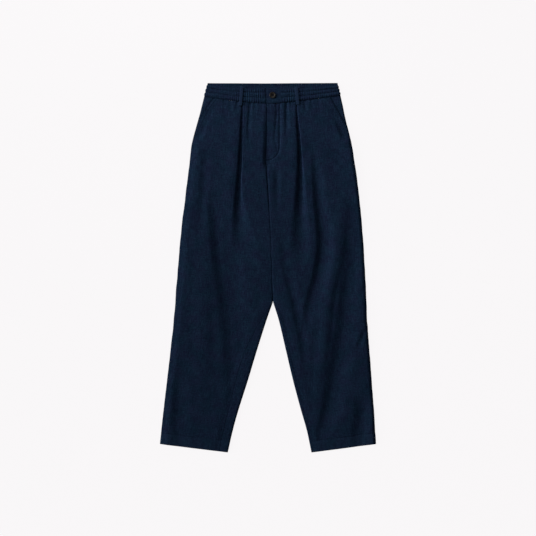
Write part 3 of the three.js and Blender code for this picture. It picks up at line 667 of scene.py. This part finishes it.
def front_weight(side, row):
    """How close together the front's columns are: closer round the edges and beside the folds."""
    near = CLOSER_FOLDS

    def weight(arc):
        across, tilt, _ = row.spot(arc)
        x = row.inner[0] + row.along[0] * across
        y = row.inner[1] + row.along[1] * across
        total = 1 + CLOSER_SIDES["front"] * np.abs(tilt)
        for at, minus, plus, depth in side.folds:
            from_bottom = x - (at(y) + DARK_WALL * minus(y))
            deep = np.abs(depth(y))
            low, high = (wide + near["margin"] for wide in (minus(y), plus(y)))
            total += near["bottom"] * deep * bump(from_bottom, low, high)
            steep = plus(y) < near["steep"]
            total += near["wall"] * deep * bump(from_bottom - plus(y) / 2, near["half"]) * steep
        if side.over:
            beside_fly = float(step(row.inner_y, *CLOSER_FLY["rows"]))
            total += CLOSER_FLY["by"] * bump(x - FLY_STITCH["x"], *CLOSER_FLY["half"]) * beside_fly
        return total

    return weight


def row_heights(count):
    """Heights of a leg's rows, closer together at the crotch, the fly's end and the hem's stitches."""
    middle = np.linspace(LEG_TOP_Y, HEM_Y, HEIGHT_SAMPLES)
    weight = 1 + sum(by * bump(middle - at, half) for at, by, half in CLOSER_ROWS)
    sums = np.concatenate([[0], np.cumsum(weight)])
    heights = np.linspace(LEG_TOP_Y, HEM_Y, HEIGHT_SAMPLES + 1)
    return np.interp(np.linspace(0, sums[-1], count), sums, heights)


class Sheet:
    """A piece of cloth, row by row: its outer and inner points and its grain coordinates, mm."""

    def __init__(self):
        self.outer, self.inner, self.grain = [], [], []

    def add(self, outer, inner, across, up):
        self.outer.append(outer)
        self.inner.append(inner)
        self.grain.append(np.stack([across, np.full_like(across, up)], axis=-1))


def mouth_arc(side, row):
    """How far the pocket mouth lies in from the outer edge along a row."""
    return arc_from_edge(float(side.slant(row.outer_y)))


def front(side):
    """A leg's front, from the fly or the inseam to the pocket mouth or the side."""
    sheet = Sheet()
    rows, columns = FRONT_GRID
    for inner_y in row_heights(rows):
        row = Row(side, inner_y)
        mouth = mouth_arc(side, row)
        start = front_start(side, row)
        end = row.length - max(mouth, SEAM_GAP / 2)
        begin = max(start, 0)
        arcs = with_edges(spread(begin, end, columns - 4, front_weight(side, row)), begin, end)
        if start < begin:
            arcs[:4] = np.linspace(start, 0.8, 4)
        relief, lift, edges = front_relief(side, row, arcs, start, end, mouth)
        outer = row.place(arcs, relief + lift - edges)
        inner = row.place(arcs, np.minimum(relief, 0) + lift - cloth_at(inner_y))
        sheet.add(outer, inner, arcs - row.length / 2, inner_y)
    return sheet


def back(side):
    """A leg's back, flat on the floor and wrapped over the inner edge."""
    sheet = Sheet()
    rows, columns = BACK_GRID
    round_side = CLOSER_SIDES["back"]
    for inner_y in row_heights(rows):
        row = Row(side, inner_y)
        wrapped = arc_from_edge(float(side.wrap(inner_y))) if inner_y < CROTCH_Y else 0
        start = SEAM_MEET - wrapped if wrapped > SEAM_MEET else SEAM_MEET
        end = row.length - SEAM_GAP / 2
        arcs = spread(start, end, columns, lambda arc: 1 + round_side * np.abs(row.spot(np.abs(arc))[1]))
        over = arcs < 0
        x, y, _ = row.place(np.abs(arcs), 0, over).T
        room = np.clip(1 + fold_height(side.folds, x, y) / BACK_ROOM, 0, 1)
        lifted = -fold_height(side.back_folds, x, y) * room * row.spot(np.abs(arcs))[2] ** 2
        height = np.where(over, uneven(WRAP_PUCKER, arcs, inner_y), -lifted)
        height = height - np.where(over, folded(arcs - start, BACK_ROUND[side.name]), 0)
        outer = row.place(np.abs(arcs), height, over)
        inner = row.place(np.abs(arcs), np.where(over, 0, height) - cloth_at(inner_y), over)
        sheet.add(outer, inner, arcs - row.length / 2, inner_y)
    return sheet


def facing(side):
    """The hip facing behind a slant pocket."""
    sheet = Sheet()
    rows, columns = FACING_GRID
    round_side = CLOSER_SIDES["facing"]
    for inner_y in np.linspace(LEG_TOP_Y, FACING_LOW_Y, rows):
        if side.level(inner_y) <= SLANT[-1][0]:
            continue
        row = Row(side, inner_y)
        mouth = mouth_arc(side, row)
        start, end = row.length - mouth - FACING_UNDERLAP, row.length - SEAM_GAP / 2
        arcs = spread(start, end, columns, lambda arc: 1 + round_side * row.spot(arc)[1])
        x, y, _ = row.place(arcs).T
        shown = step(arcs - start, FACING_UNDERLAP, FACING_UNDERLAP + 6)
        past_mouth = step(arcs - start - FACING_UNDERLAP, -0.5, 4.5)
        rise = FACING_RISE[side.name] * min(mouth / FACING_WIDE, 1) * past_mouth
        height = np.minimum(uneven(FACING_DRAPE, x, y) * shown, 0) + rise - FACING_SINK
        inner = row.place(arcs, height - FACING_CLOTH)
        sheet.add(row.place(arcs, height), inner, arcs - row.length / 2, inner_y)
    return sheet


def gathered(part):
    """How much the gathers show on the way up the band, and which tier it is."""
    for tier, (low, high, most) in enumerate(BAND_TIERS):
        if part <= high:
            arch = math.sin(math.pi * (part - low) / (high - low))
            return TIER_EDGE + most * arch**TIER_BLUNT, tier
    return TIER_EDGE, tier


def band_wave(arc, tier, side):
    """Rounded gathers with sharp valleys, uneven in pitch and height."""
    seed = WAVE_APART["tier"] * tier + WAVE_APART["side"] * side.sign
    phase = math.pi * arc / WAVE_PITCH + uneven(WAVE_DRIFT, arc, seed)
    size = WAVE_FORM["size"] + uneven(WAVE_SIZES, arc, seed)
    return size * (WAVE_FORM["ridge"] * np.abs(np.cos(phase)) ** WAVE_FORM["blunt"] - 1.0)


def on_flat(row, arc):
    """1 on the flat part of a row, and fading round its outer side."""
    return 1 - step(arc, row.flat_end - 2, row.length)


def stitch_lines(part, lines, wide):
    """How far the stitch lines press the band in, a part of the way up."""
    return sum(deep * math.exp(-(((part - at) / wide) ** 2)) for at, deep in lines)


def band_profile(side, arc, part, row):
    """Height of the band's outer face, and its thickness, with the button tab or its underlap."""
    end = TAB if side.over else UNDERLAP
    plain = TAB["reach"] + TAB["fade"] if side.over else UNDERLAP["fade"]
    flat = 1 - step(arc, plain - end["fade"], plain)
    shown, tier = gathered(part)
    waves = step(arc, plain + WAVE_FROM[0], plain + WAVE_FROM[1]) * on_flat(row, arc)
    wave = waves * (1 - TIGHT_PART * step(arc, *TIGHT)) * band_wave(arc, tier, side)
    line = stitch_lines(part, [(at, 1) for at in BAND_STITCHES], BAND_STITCH_WIDE)
    s = BAND_STITCHED
    stitched = line * (s["deep"] - s["less_on_waves"] * wave) * (1 - s["less_on_tab"] * flat)
    swell = uneven(BAND_SWELL, arc, part) * (1 - flat)
    puffed = TIER_BULGE * shown * (1 - flat)
    height = end["lift"] * flat + WAVE * shown * wave - stitched + swell + puffed
    return height, BAND + (end["cloth"] - BAND) * flat, end["lift"] * flat


def band_parts(count):
    """Rows up the band, closer together at its folded edges."""
    return np.concatenate([FOLD_IN, np.linspace(0.05, 0.95, count - 8), FOLD_OUT])


def band_front(side):
    """A half of the waistband's front."""
    sheet = Sheet()
    rows, columns = BAND_GRID
    start = 0.0 if side.over else -float(UNDERLAP["reach"])
    tall = BAND_TOP_Y - BAND_Y
    for part in band_parts(rows):
        row = Row(side, BAND_Y + tall * part)
        end = row.length - SEAM_GAP / 2
        arcs = with_edges(np.linspace(start, end, columns - 6), start, end)
        height, thick, lift = band_profile(side, arcs, part, row)
        low, top, end_round = BAND_ROUND
        edge = folded(part * tall, low) + folded((1 - part) * tall, top) + folded(arcs - start, end_round)
        outer = row.place(arcs, height - np.minimum(edge, thick - 0.5))
        sheet.add(outer, row.place(arcs, lift - thick), arcs - row.length / 2, part * tall)
    return sheet


def loop_recess(x):
    """The back band's underside presses in over each belt loop."""
    near = np.min([np.abs(x - at) for _, at, _ in BACK_LOOPS], axis=0)
    return BACK_LOOP["recess"] * (1 - step(near, BACK_LOOP["half"], BACK_LOOP["half"] + BACK_LOOP["ramp"]))


def across_both(parts):
    """Both sides' rows joined at the centre."""
    right, left = parts
    return np.concatenate([right[:0:-1], left])


def band_back():
    """The back waistband: its inner side shows above the front."""
    sheet = Sheet()
    rows, columns = BACK_BAND_GRID
    tall = BACK_BAND_TOP_Y - BAND_Y
    for part in band_parts(rows):
        lows, highs, arcs_out = [], [], []
        shown, tier = gathered(part)
        line = stitch_lines(part, BACK_BAND_STITCHES, BACK_STITCH_WIDE)
        roll = folded((1 - part) * tall, BACK_ROLL["radius"])
        under_roll = BACK_ROLL["under"] * roll
        for side in SIDES:
            row = Row(side, BAND_Y + tall * part, back_band=True)
            arcs = np.linspace(0, row.length - SEAM_GAP / 2, columns)
            still = on_flat(row, arcs)
            wave = band_wave(arcs, tier + BACK_TIERS, side) * shown * still
            middle = 1 - BACK_MIDDLE_PART * step(arcs, *BACK_MIDDLE)
            rise = BACK_BAND_RISE * float(step(part, *BACK_BAND_RISES)) * still * middle
            low = row.place(arcs, -under_roll, False)
            flat = row.spot(arcs)[1] == 0
            low[:, 2] = np.where(flat, np.maximum(loop_recess(low[:, 0]), under_roll), low[:, 2])
            high = -BACK_BAND - BACK_WAVE * wave - rise + line * middle + roll
            highs.append(row.place(arcs, high, False))
            lows.append(low)
            arcs_out.append(side.sign * arcs)
        sheet.add(across_both(lows), across_both(highs), across_both(arcs_out), part * tall)
    return sheet


def pressed(distance, line):
    """How far a line pressed in beside an edge goes down, at a distance from the edge."""
    deep, inset, half = line
    return deep * bump(distance - inset, half)


def loop_strip(top_x, bottom_x, top_y, bottom_y, seat, slack):
    """A belt loop: a strip folded in at both ends and standing a little off the band between them."""
    sheet = Sheet()
    half = LOOP["wide"] / 2
    offsets = LOOP_COLUMNS * half
    length = math.hypot(top_x - bottom_x, top_y - bottom_y)
    folded_in = (LOOP["end"] - LOOP["cloth"]) * (slack > 0)
    for part in np.concatenate([FOLD_IN, np.linspace(0.06, 0.94, LOOP_ROWS), FOLD_OUT]):
        from_end = min(part, 1 - part)
        low = seat + slack * float(step(from_end, *LOOP_OFF))
        thick = LOOP["cloth"] + folded_in * float(1 - step(from_end, *LOOP_FOLDED))
        from_side = half - np.abs(offsets)
        crown = LOOP["crown"] * (1 - (offsets / half) ** 2) - pressed(from_side, LOOP_LINE)
        bartack = float(pressed(np.array(from_end * length), LOOP_BARTACK))
        high = low + thick + crown - bartack - folded(from_end * length, LOOP_ROUND["end"])
        high = np.maximum(high - folded(from_side, LOOP_ROUND["side"]), low + LOOP_LEAST)
        x = top_x + (bottom_x - top_x) * part + offsets
        y = np.full_like(offsets, top_y + (bottom_y - top_y) * part)
        outer, inner = (np.stack([x, y, np.broadcast_to(z, x.shape)], axis=-1) for z in (high, low))
        sheet.add(outer, inner, offsets, part * length)
    return sheet


FLAT_WALL = 0.1


def cloth_mesh(name, sheet):
    """A flat grid given a wall, then shaped: its sides take the outer and the inner points."""
    outer, inner, grain = (np.array(rows) for rows in (sheet.outer, sheet.inner, sheet.grain))
    rows, columns = outer.shape[:2]
    bm = bmesh.new()
    bmesh.ops.create_grid(bm, x_segments=columns - 1, y_segments=rows - 1, size=0.5)
    bmesh.ops.solidify(bm, geom=bm.faces[:], thickness=FLAT_WALL)
    for face in bm.faces:
        face.smooth = True
        if abs(face.normal.z) < 0.5:
            for edge in face.edges:
                edge.smooth = False
    mesh = mesh_from(name, bm)
    flat = np.empty(len(mesh.vertices) * 3)
    mesh.vertices.foreach_get("co", flat)
    x, y, z = flat.reshape(-1, 3).T
    column = np.rint((x + 0.5) * (columns - 1)).astype(int)
    row = np.rint((0.5 - y) * (rows - 1)).astype(int)
    upper = z > (z.max() + z.min()) / 2
    shaped = np.where(upper[:, None], outer[row, column], inner[row, column]) * MM
    mesh.vertices.foreach_set("co", shaped.astype(np.float32).ravel())
    corners = np.empty(len(mesh.loops), dtype=np.int32)
    mesh.loops.foreach_get("vertex_index", corners)
    uv = grain[row, column][corners] * MM
    mesh.uv_layers.new(name="grain").data.foreach_set("uv", uv.astype(np.float32).ravel())
    face_out(mesh)
    return mesh


def face_out(mesh):
    """Turns the faces round where they point into the wall."""
    bm = bmesh.new()
    bm.from_mesh(mesh)
    if bm.calc_volume(signed=True) < 0:
        bmesh.ops.reverse_faces(bm, faces=bm.faces[:])
        bm.to_mesh(mesh)
    bm.free()
    mesh.update()


def show(name, mesh, material, replaced=()):
    """Adds a piece to the scene: it rides on the garment, has its finish and stands for its node."""
    piece = add(name, mesh)
    mesh.materials.clear()
    mesh.materials.append(material)
    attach(piece, "root")
    if replaced:
        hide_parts(*replaced)
    return piece


class Value:
    """A shader value, on which Python's operators add Math nodes."""

    def __init__(self, paint, socket):
        self.paint = paint
        self.socket = socket

    def math(self, operation, *others):
        return self.paint.node("Math", {"operation": operation}, self, *others)

    def __add__(self, other):
        return self.math("ADD", other)

    def __sub__(self, other):
        return self.math("SUBTRACT", other)

    def __mul__(self, other):
        return self.math("MULTIPLY", other)


class Paint:
    """One material, with its nodes made by one method."""

    def __init__(self, name):
        self.material = bpy.data.materials.new(name)
        self.material.use_nodes = True
        self.tree = self.material.node_tree
        self.shader = self.tree.nodes["Principled BSDF"]

    def node(self, kind, settings, *values, output=0, **named):
        made = self.tree.nodes.new(f"ShaderNode{kind}")
        for key, value in settings.items():
            setattr(made, key, value)
        sockets = [(made.inputs[i], value) for i, value in enumerate(values)]
        sockets += [(made.inputs[key.replace("_", " ")], value) for key, value in named.items()]
        for socket, value in sockets:
            self.feed(socket, value)
        return Value(self, made.outputs[output])

    def feed(self, socket, value):
        if isinstance(value, Value):
            self.tree.links.new(value.socket, socket)
        else:
            socket.default_value = value

    def own_place(self):
        """The place on the object itself."""
        return self.node("TexCoord", {}, output=3)

    def noise(self, place, scale, detail=2.0, **named):
        return self.node("TexNoise", {}, place, Scale=scale, Detail=detail, **named)

    def bumps(self, strength, deep, height):
        return self.node("Bump", {}, Strength=strength, Distance=deep * MM, Height=height)

    def blend(self, factor, first, second):
        """A colour between two colours."""
        made = self.tree.nodes.new("ShaderNodeMix")
        made.data_type = "RGBA"
        for socket, value in ((0, factor), (6, first), (7, second)):
            self.feed(made.inputs[socket], value)
        return Value(self, made.outputs[2])

    def clamp(self, value, low, high, to_low=0.0, to_high=1.0):
        """A value mapped from one range to another and held there."""
        return self.node("MapRange", {"clamp": True}, value, low, high, to_low, to_high)

    def finish(self, base, roughness, normal=None, **constants):
        self.feed(self.shader.inputs["Base Color"], base)
        self.feed(self.shader.inputs["Roughness"], roughness)
        if normal is not None:
            self.feed(self.shader.inputs["Normal"], normal)
        for key, value in constants.items():
            self.shader.inputs[key.replace("_", " ")].default_value = value
        return self.material


def colour(red, green, blue):
    return (red, green, blue, 1.0)


NAVY_DARK = colour(0.0028, 0.0047, 0.0124)
NAVY_VIOLET = colour(0.0053, 0.0086, 0.0216)
NAVY_TEAL = colour(0.0037, 0.0098, 0.0205)
NAVY_LIGHT = colour(0.0071, 0.0164, 0.0325)
# Painted highlight: paler copies of the navy cloth's middle shades, used only for the belt loops' cloth, the
# same navy cloth painted lighter for the light the raised loops catch
NAVY_PAINTED_LIT_VIOLET = colour(0.0067, 0.0119, 0.0264)
NAVY_PAINTED_LIT_TEAL = colour(0.0060, 0.0126, 0.0260)
THREAD_SHADES = (colour(0.0032, 0.0068, 0.0155), colour(0.0068, 0.0125, 0.0265))
HORN_MIDDLE = colour(0.0036, 0.0018, 0.0018)
HORN_SHADES = (colour(0.0072, 0.0062, 0.0054), colour(0.0125, 0.0104, 0.0087))
FLOOR_SHADES = (colour(0.020, 0.0195, 0.0198), colour(0.022, 0.0215, 0.0218))
FLOOR_GLOW = colour(0.925, 0.908, 0.917)
YARN_PITCH = 0.55 * MM
WARP = (430, 46, 1)  # how many slubs the yarns have to a metre, across and along
WEFT = (52, 430, 1)
HEM_PAINTED_LIGHT = 0.2  # painted highlight: how much lighter the hem below its stitch line is painted, for the brighter light that falls on the hem


def woven(name, dark, violet, teal, light):
    """Plain woven cloth of mixed yarns, soft and matt, with its weave along the piece's own grain, and a
    painted highlight that makes the hem below its stitch line lighter.
    """
    paint = Paint(name)
    grain = paint.node("UVMap", {"uv_map": "grain"})
    across = paint.node("SeparateXYZ", {}, grain, output=0)
    along = paint.node("SeparateXYZ", {}, grain, output=1)
    turn = math.pi / YARN_PITCH
    weave = (across * turn).math("SINE") * (along * turn).math("SINE")
    warp = paint.noise(paint.node("Mapping", {}, grain, Scale=WARP), 1.0)
    weft = paint.noise(paint.node("Mapping", {}, grain, Scale=WEFT), 1.0)
    mottle = paint.noise(grain, 300.0)
    fleck = paint.noise(grain, 900.0, Roughness=0.6)
    cloud = paint.noise(grain, 26.0)
    hue = paint.noise(grain, 30.0, 4.0)
    middle = paint.blend(paint.clamp(hue, 0.38, 0.62), violet, teal)
    mixed = (warp - 0.5) * 1.3 + (weft - 0.5) * 1.0 + (mottle - 0.5) * 1.5 + (fleck - 0.5) * 1.1
    shade = mixed + (cloud - 0.5) * 0.5 + 0.5
    base = paint.blend(paint.clamp(shade, 0.0, 0.5), dark, middle)
    base = paint.blend(paint.clamp(shade, 0.5, 1.0), base, light)
    hem = HEM_LINE_Y * MM
    # Painted highlight: below the hem's stitch line the colour is painted part of the way to the light yarn
    # colour
    base = paint.blend(paint.clamp(along, hem - MM, hem + MM, HEM_PAINTED_LIGHT, 0.0), base, light)
    height = weave * 0.28 + (warp * 0.5 + weft * 0.5) * 0.9 + fleck * 0.35
    roughness = paint.clamp(fleck, 0.3, 0.7, 0.86, 0.98)
    return paint.finish(base, roughness, paint.bumps(0.4, 0.28, height), Specular_IOR_Level=0.004)


def sewing_thread():
    """Twisted thread, a shade darker than the cloth."""
    paint = Paint("sewing thread")
    twist = paint.noise(paint.own_place(), 2600.0, 1.0)
    base = paint.blend(paint.clamp(twist, 0.35, 0.65), *THREAD_SHADES)
    return paint.finish(base, 0.9, paint.bumps(0.4, 0.1, twist), Specular_IOR_Level=0.01)


def horn():
    """Dark brown-black horn, darker in the middle, with soft streaks."""
    paint = Paint("dark horn")
    place = paint.own_place()
    middle = (-BUTTON["x"] * MM, -BUTTON["y"] * MM, 0)
    centred = paint.node("Mapping", {}, place, Location=middle)
    flat = paint.node("VectorMath", {"operation": "MULTIPLY"}, centred, (1.0, 1.0, 0.0))
    away = paint.node("VectorMath", {"operation": "LENGTH"}, flat, output=1)
    stretched = paint.node("Mapping", {}, place, Scale=(90, 420, 300))
    streak = paint.noise(stretched, 1.0, 4.0, Distortion=0.8)
    base = paint.blend(paint.clamp(streak, 0.38, 0.7), *HORN_SHADES)
    base = paint.blend(paint.clamp(away, 3.3 * MM, 4.3 * MM), HORN_MIDDLE, base)
    scratch = paint.noise(place, 1500.0)
    roughness = paint.clamp(scratch, 0.35, 0.65, 0.42, 0.55)
    return paint.finish(base, roughness, paint.bumps(0.12, 0.06, scratch), Specular_IOR_Level=0.08)


def pale_floor():
    """A matt floor that glows a little, so it stays as even and pale as a studio's."""
    paint = Paint("pale floor")
    tone = paint.noise(paint.own_place(), 3.0, 1.0)
    base = paint.blend(paint.clamp(tone, 0.2, 0.8), *FLOOR_SHADES)
    glow = {"Emission_Color": FLOOR_GLOW, "Emission_Strength": 1.0}
    return paint.finish(base, 0.9, Specular_IOR_Level=0.0, **glow)


BODY_CLOTH = woven("navy cloth", NAVY_DARK, NAVY_VIOLET, NAVY_TEAL, NAVY_LIGHT)
BAND_CLOTH = woven("navy band cloth", NAVY_DARK, NAVY_VIOLET, NAVY_TEAL, NAVY_LIGHT)
# The belt loops: the same navy cloth with every shade painted one step lighter, a painted highlight for the
# raised loops
LOOP_CLOTH_PAINTED_LIT = woven("navy loop cloth", NAVY_VIOLET, NAVY_PAINTED_LIT_VIOLET, NAVY_PAINTED_LIT_TEAL, NAVY_LIGHT)
THREAD = sewing_thread()
HORN = horn()


def cloth_piece(name, sheet, cut, rests_on, material=BODY_CLOTH, slot="cloth"):
    """A sheet of cloth that stands for the node of the same name."""
    piece = show(f"{name}_cloth", cloth_mesh(name, sheet), material, [name])


BAND_LOOK = (BAND_CLOTH, "waistband_cloth")
LOOP_LOOK_PAINTED_LIT = (LOOP_CLOTH_PAINTED_LIT, "waistband_cloth")
for side in SIDES:
    cloth_piece(f"back_{side.name}", back(side), "back", ["floor"])
    cloth_piece(f"front_{side.name}", front(side), "front", [f"back_{side.name}"])
    cloth_piece(f"hip_facing_{side.name}", facing(side), "facing", [f"back_{side.name}"])
    name = f"waistband_front_{side.name}"
    cloth_piece(name, band_front(side), "band_front", ["waistband_back"], *BAND_LOOK)
cloth_piece("waistband_back", band_back(), "band_back", ["floor"], *BAND_LOOK)
for name, top_x, bottom_x, top_y, bottom_y in FRONT_LOOPS:
    strip = loop_strip(top_x, bottom_x, top_y, bottom_y, LOOP["seat"], LOOP["slack"])
    cloth_piece(name, strip, "loop", ["waistband_front_" + name.split("_")[-1]], *LOOP_LOOK_PAINTED_LIT)
for name, x, bottom_y in BACK_LOOPS:
    strip = loop_strip(x, x, BACK_LOOP["top"], bottom_y, 0, 0)
    cloth_piece(name, strip, "back_loop", ["floor"], *LOOP_LOOK_PAINTED_LIT)

# Stitches: length, pitch, half width and half height of the sewn thread, mm
STITCH = {"long": 2.6, "pitch": 3.1, "half": 0.42, "high": 0.3}
# The buttonhole's bars: x from the button's middle, half the slit, reach, pitch and half width
BUTTONHOLE = {"from": -3, "to": 13.5, "slit": 0.25, "end": 0.3, "reach": 1.7, "pitch": 0.55, "half": 0.26}
ABOVE = 60  # a height over every piece, mm


def surface_of(name):
    """The surface of a cloth piece, to lay threads on."""
    bm = bmesh.new()
    bm.from_mesh(bpy.data.objects[f"{name}_cloth"].data)
    surface = BVHTree.FromBMesh(bm)
    bm.free()
    return surface


def drop(surface, x, y):
    """The point on a surface straight below a place."""
    point = surface.ray_cast(Vector((x, y, ABOVE)) * MM, Vector((0, 0, -1)))[0]
    return point if point is not None else Vector((x, y, 2 * EDGE)) * MM


def along(path, pitch):
    """Places at equal distances along a path, and the path's direction there."""
    path = np.array(path, float)
    run = np.concatenate([[0], np.cumsum(np.hypot(*np.diff(path, axis=0).T))])
    places = np.arange(pitch / 2, run[-1], pitch)

    def points(at):
        return np.stack([np.interp(at, run, line) for line in path.T], axis=-1)

    here = points(places)
    way = points(places + 0.5) - here + 1e-9
    return zip(*here.T, way / np.hypot(*way.T)[:, None])


def add_thread(bm, start, end, half, high):
    """One rounded length of thread between two points."""
    way = end - start
    turn = way.to_track_quat("X", "Z").to_matrix().to_4x4()
    size = Matrix.Diagonal((way.length / 2, half * MM, high * MM, 1))
    place = Matrix.Translation((start + end) / 2) @ turn @ size
    bmesh.ops.create_uvsphere(bm, u_segments=6, v_segments=4, radius=1, matrix=place)


def sewn(bm, path, surface):
    """A row of stitches along a path on the cloth."""
    half = STITCH["long"] / 2
    for x, y, way in along(path, STITCH["pitch"]):
        ends = [drop(surface, x + sign * way[0] * half, y + sign * way[1] * half) for sign in (-1, 1)]
        add_thread(bm, *ends, STITCH["half"], STITCH["high"])


def thread_piece(name, bm):
    for face in bm.faces:
        face.smooth = True
    show(name, mesh_from(name, bm), THREAD)


def inset_path(side, inset, high, low):
    """A line on the front at a distance from its pocket mouth."""
    rows = [Row(side, inner_y) for inner_y in np.arange(high, low, -3.0)]
    return [row.place(np.array([row.length - mouth_arc(side, row) - inset]))[0][:2] for row in rows]


def band_path(side, part):
    """A line along the band, a part of the way up."""
    row = Row(side, BAND_Y + (BAND_TOP_Y - BAND_Y) * part)
    start = 1.5 if side.over else 0.5
    return row.place(np.linspace(start, row.flat_end + 1.5, 60))[:, :2]


def hem_path(side, up):
    """A line along the hem of the front, a distance above its edge."""
    row = Row(side, HEM_Y + up)
    start = arc_from_edge(float(side.wrap(row.inner_y))) + 1
    return row.place(np.linspace(start, row.flat_end + 1.5, 40))[:, :2]


for side in SIDES:
    bm = bmesh.new()
    cloth = surface_of(f"front_{side.name}")
    for inset in POCKET_STITCHES:
        sewn(bm, inset_path(side, inset, WAIST_Y - 2, FACING_LOW_Y + 4), cloth)
    if side.over:
        sewn(bm, FLY_STITCH_POINTS, cloth)
    sewn(bm, hem_path(side, HEM_DEEP), cloth)
    thread_piece(f"stitches_front_{side.name}", bm)
    bm = bmesh.new()
    cloth = surface_of(f"waistband_front_{side.name}")
    for part in BAND_STITCHES[1:]:
        sewn(bm, band_path(side, part), cloth)
    thread_piece(f"stitches_band_{side.name}", bm)


def turned(name, profile):
    """A closed shape turned about the button's axis from its profile of radius and height, mm."""
    bm = bmesh.new()
    vertices = [bm.verts.new((radius * MM, 0, height * MM)) for radius, height in profile]
    edges = [bm.edges.new(pair) for pair in zip(vertices, vertices[1:])]
    turn = {"cent": (0, 0, 0), "axis": (0, 0, 1), "angle": 2 * math.pi, "steps": 72}
    bmesh.ops.spin(bm, geom=vertices + edges, use_merge=True, **turn)
    bmesh.ops.remove_doubles(bm, verts=bm.verts[:], dist=0.005 * MM)
    bmesh.ops.recalc_face_normals(bm, faces=bm.faces[:])
    return mesh_from(name, bm)


def button():
    """The button's disc, turned from its profile and bored with four holes."""
    radius, thick, rim, pitch = (BUTTON[key] for key in ("radius", "thick", "rim", "pitch"))
    hole = BUTTON["hole"] * MM
    outside = [(1.6, 0), (0.7, 0.3), (0.15, 1.0), (0, 1.7), (0.12, 2.4), (0.5, 2.9), (1.0, thick)]
    dish = [(rim, 0.12), (rim + 0.6, 0.7), (rim + 1.3, 1.0), (radius - 2.2, 1.15), (radius, 1.2)]
    profile = [(0, 0)] + [(radius - inset, height) for inset, height in outside]
    profile += [(radius - inset, thick - deep) for inset, deep in dish]
    disc = add("button", turned("button", profile))
    bm = bmesh.new()
    reach = pitch / math.sqrt(2)
    for turn in range(4):
        angle = QUARTER / 2 + turn * QUARTER
        place = Matrix.Translation(Vector((math.cos(angle) * reach, math.sin(angle) * reach, thick / 2)) * MM)
        bore = {"radius1": hole, "radius2": hole, "depth": 2 * thick * MM}
        bmesh.ops.create_cone(bm, cap_ends=True, segments=24, matrix=place, **bore)
    drill = add("drill", mesh_from("drill", bm))
    bored = disc.modifiers.new("holes", "BOOLEAN")
    bored.operation = "DIFFERENCE"
    bored.solver = "EXACT"
    bored.object = drill
    bpy.context.view_layer.update()
    mesh = bpy.data.meshes.new_from_object(disc.evaluated_get(bpy.context.evaluated_depsgraph_get()))
    bpy.data.objects.remove(drill)
    bpy.data.objects.remove(disc)
    mesh.transform(Matrix.Translation(Vector((BUTTON["x"], BUTTON["y"], BUTTON_SEAT)) * MM))
    for polygon in mesh.polygons:
        polygon.use_smooth = True
    mesh.set_sharp_from_angle(angle=math.radians(38))
    return mesh


show("fly_button_horn", button(), HORN, ["fly_button"])


def button_threads():
    """Two bars of thread across the button's holes."""
    bm = bmesh.new()
    half = BUTTON["pitch"] / 2
    t = BUTTON_THREADS
    top = BUTTON_SEAT + BUTTON["thick"] - t["sunk"]
    reach = half + t["past"]
    for y in (-half, half):
        for shift in (-t["apart"], 0.0, t["apart"]):
            ends = [
                Vector((BUTTON["x"] + x, BUTTON["y"] + y + shift, top)) * MM for x in (-reach, reach)
            ]
            add_thread(bm, *ends, t["half"], t["high"])
    thread_piece("button_threads", bm)


button_threads()


def buttonhole():
    """Close bars of thread round a slit that runs across the button tab."""
    bm = bmesh.new()
    cloth = surface_of("waistband_front_left")
    h = BUTTONHOLE
    right = BUTTON["x"] + h["to"]
    bars = []
    for x in np.arange(BUTTON["x"] + h["from"], right, h["pitch"]):
        bars += [[(x, BUTTON["y"] + sign * away) for away in (h["slit"], h["reach"])] for sign in (-1, 1)]
    for turn in np.linspace(-QUARTER, QUARTER, 7):
        way = Vector((math.cos(turn), math.sin(turn)))
        bars.append([(right + away * way.x, BUTTON["y"] + away * way.y) for away in (h["end"], h["reach"])])
    for bar in bars:
        add_thread(bm, *(drop(cloth, *place) for place in bar), h["half"], STITCH["high"])
    thread_piece("buttonhole", bm)


buttonhole()

# Floor, and light in metres: where it comes from, how wide it is and how strong
FLOOR = {"half": 30.0, "z": -0.0002}
KEY = {"from": (-0.92, 0.05, 0.37), "wide": math.radians(27), "strength": 6.1}
FILL = {"from": (0.93, -0.15, 0.34), "wide": math.radians(60), "strength": 0.4}
TOP = {"from": (-0.35, 1.3, 0.7), "wide": 0.6, "strength": 14}
SKY_STRENGTH = 0.06

bm = bmesh.new()
bmesh.ops.create_grid(bm, x_segments=1, y_segments=1, size=FLOOR["half"])
floor = add("floor", mesh_from("floor", bm))
floor.data.materials.append(pale_floor())
floor.location.z = FLOOR["z"]


def lamp(name, kind, light):
    """A light that shines at the garment's middle: a wide sun, or a panel at its place."""
    data = bpy.data.lights.new(name, kind)
    data.energy = light["strength"]
    made = add(name, data)
    made.rotation_euler = Vector(light["from"]).to_track_quat("Z", "Y").to_euler()
    if kind == "SUN":
        data.angle = light["wide"]
    else:
        data.size = light["wide"]
        made.location = light["from"]


lamp("soft key", "SUN", KEY)
lamp("faint fill", "SUN", FILL)
lamp("top light", "AREA", TOP)

world = bpy.data.worlds.new("studio")
world.use_nodes = True
sky = world.node_tree.nodes["Background"].inputs
sky["Color"].default_value = colour(1.0, 1.0, 1.0)
sky["Strength"].default_value = SKY_STRENGTH
bpy.context.scene.world = world
bpy.context.scene.view_settings.view_transform = "Standard"
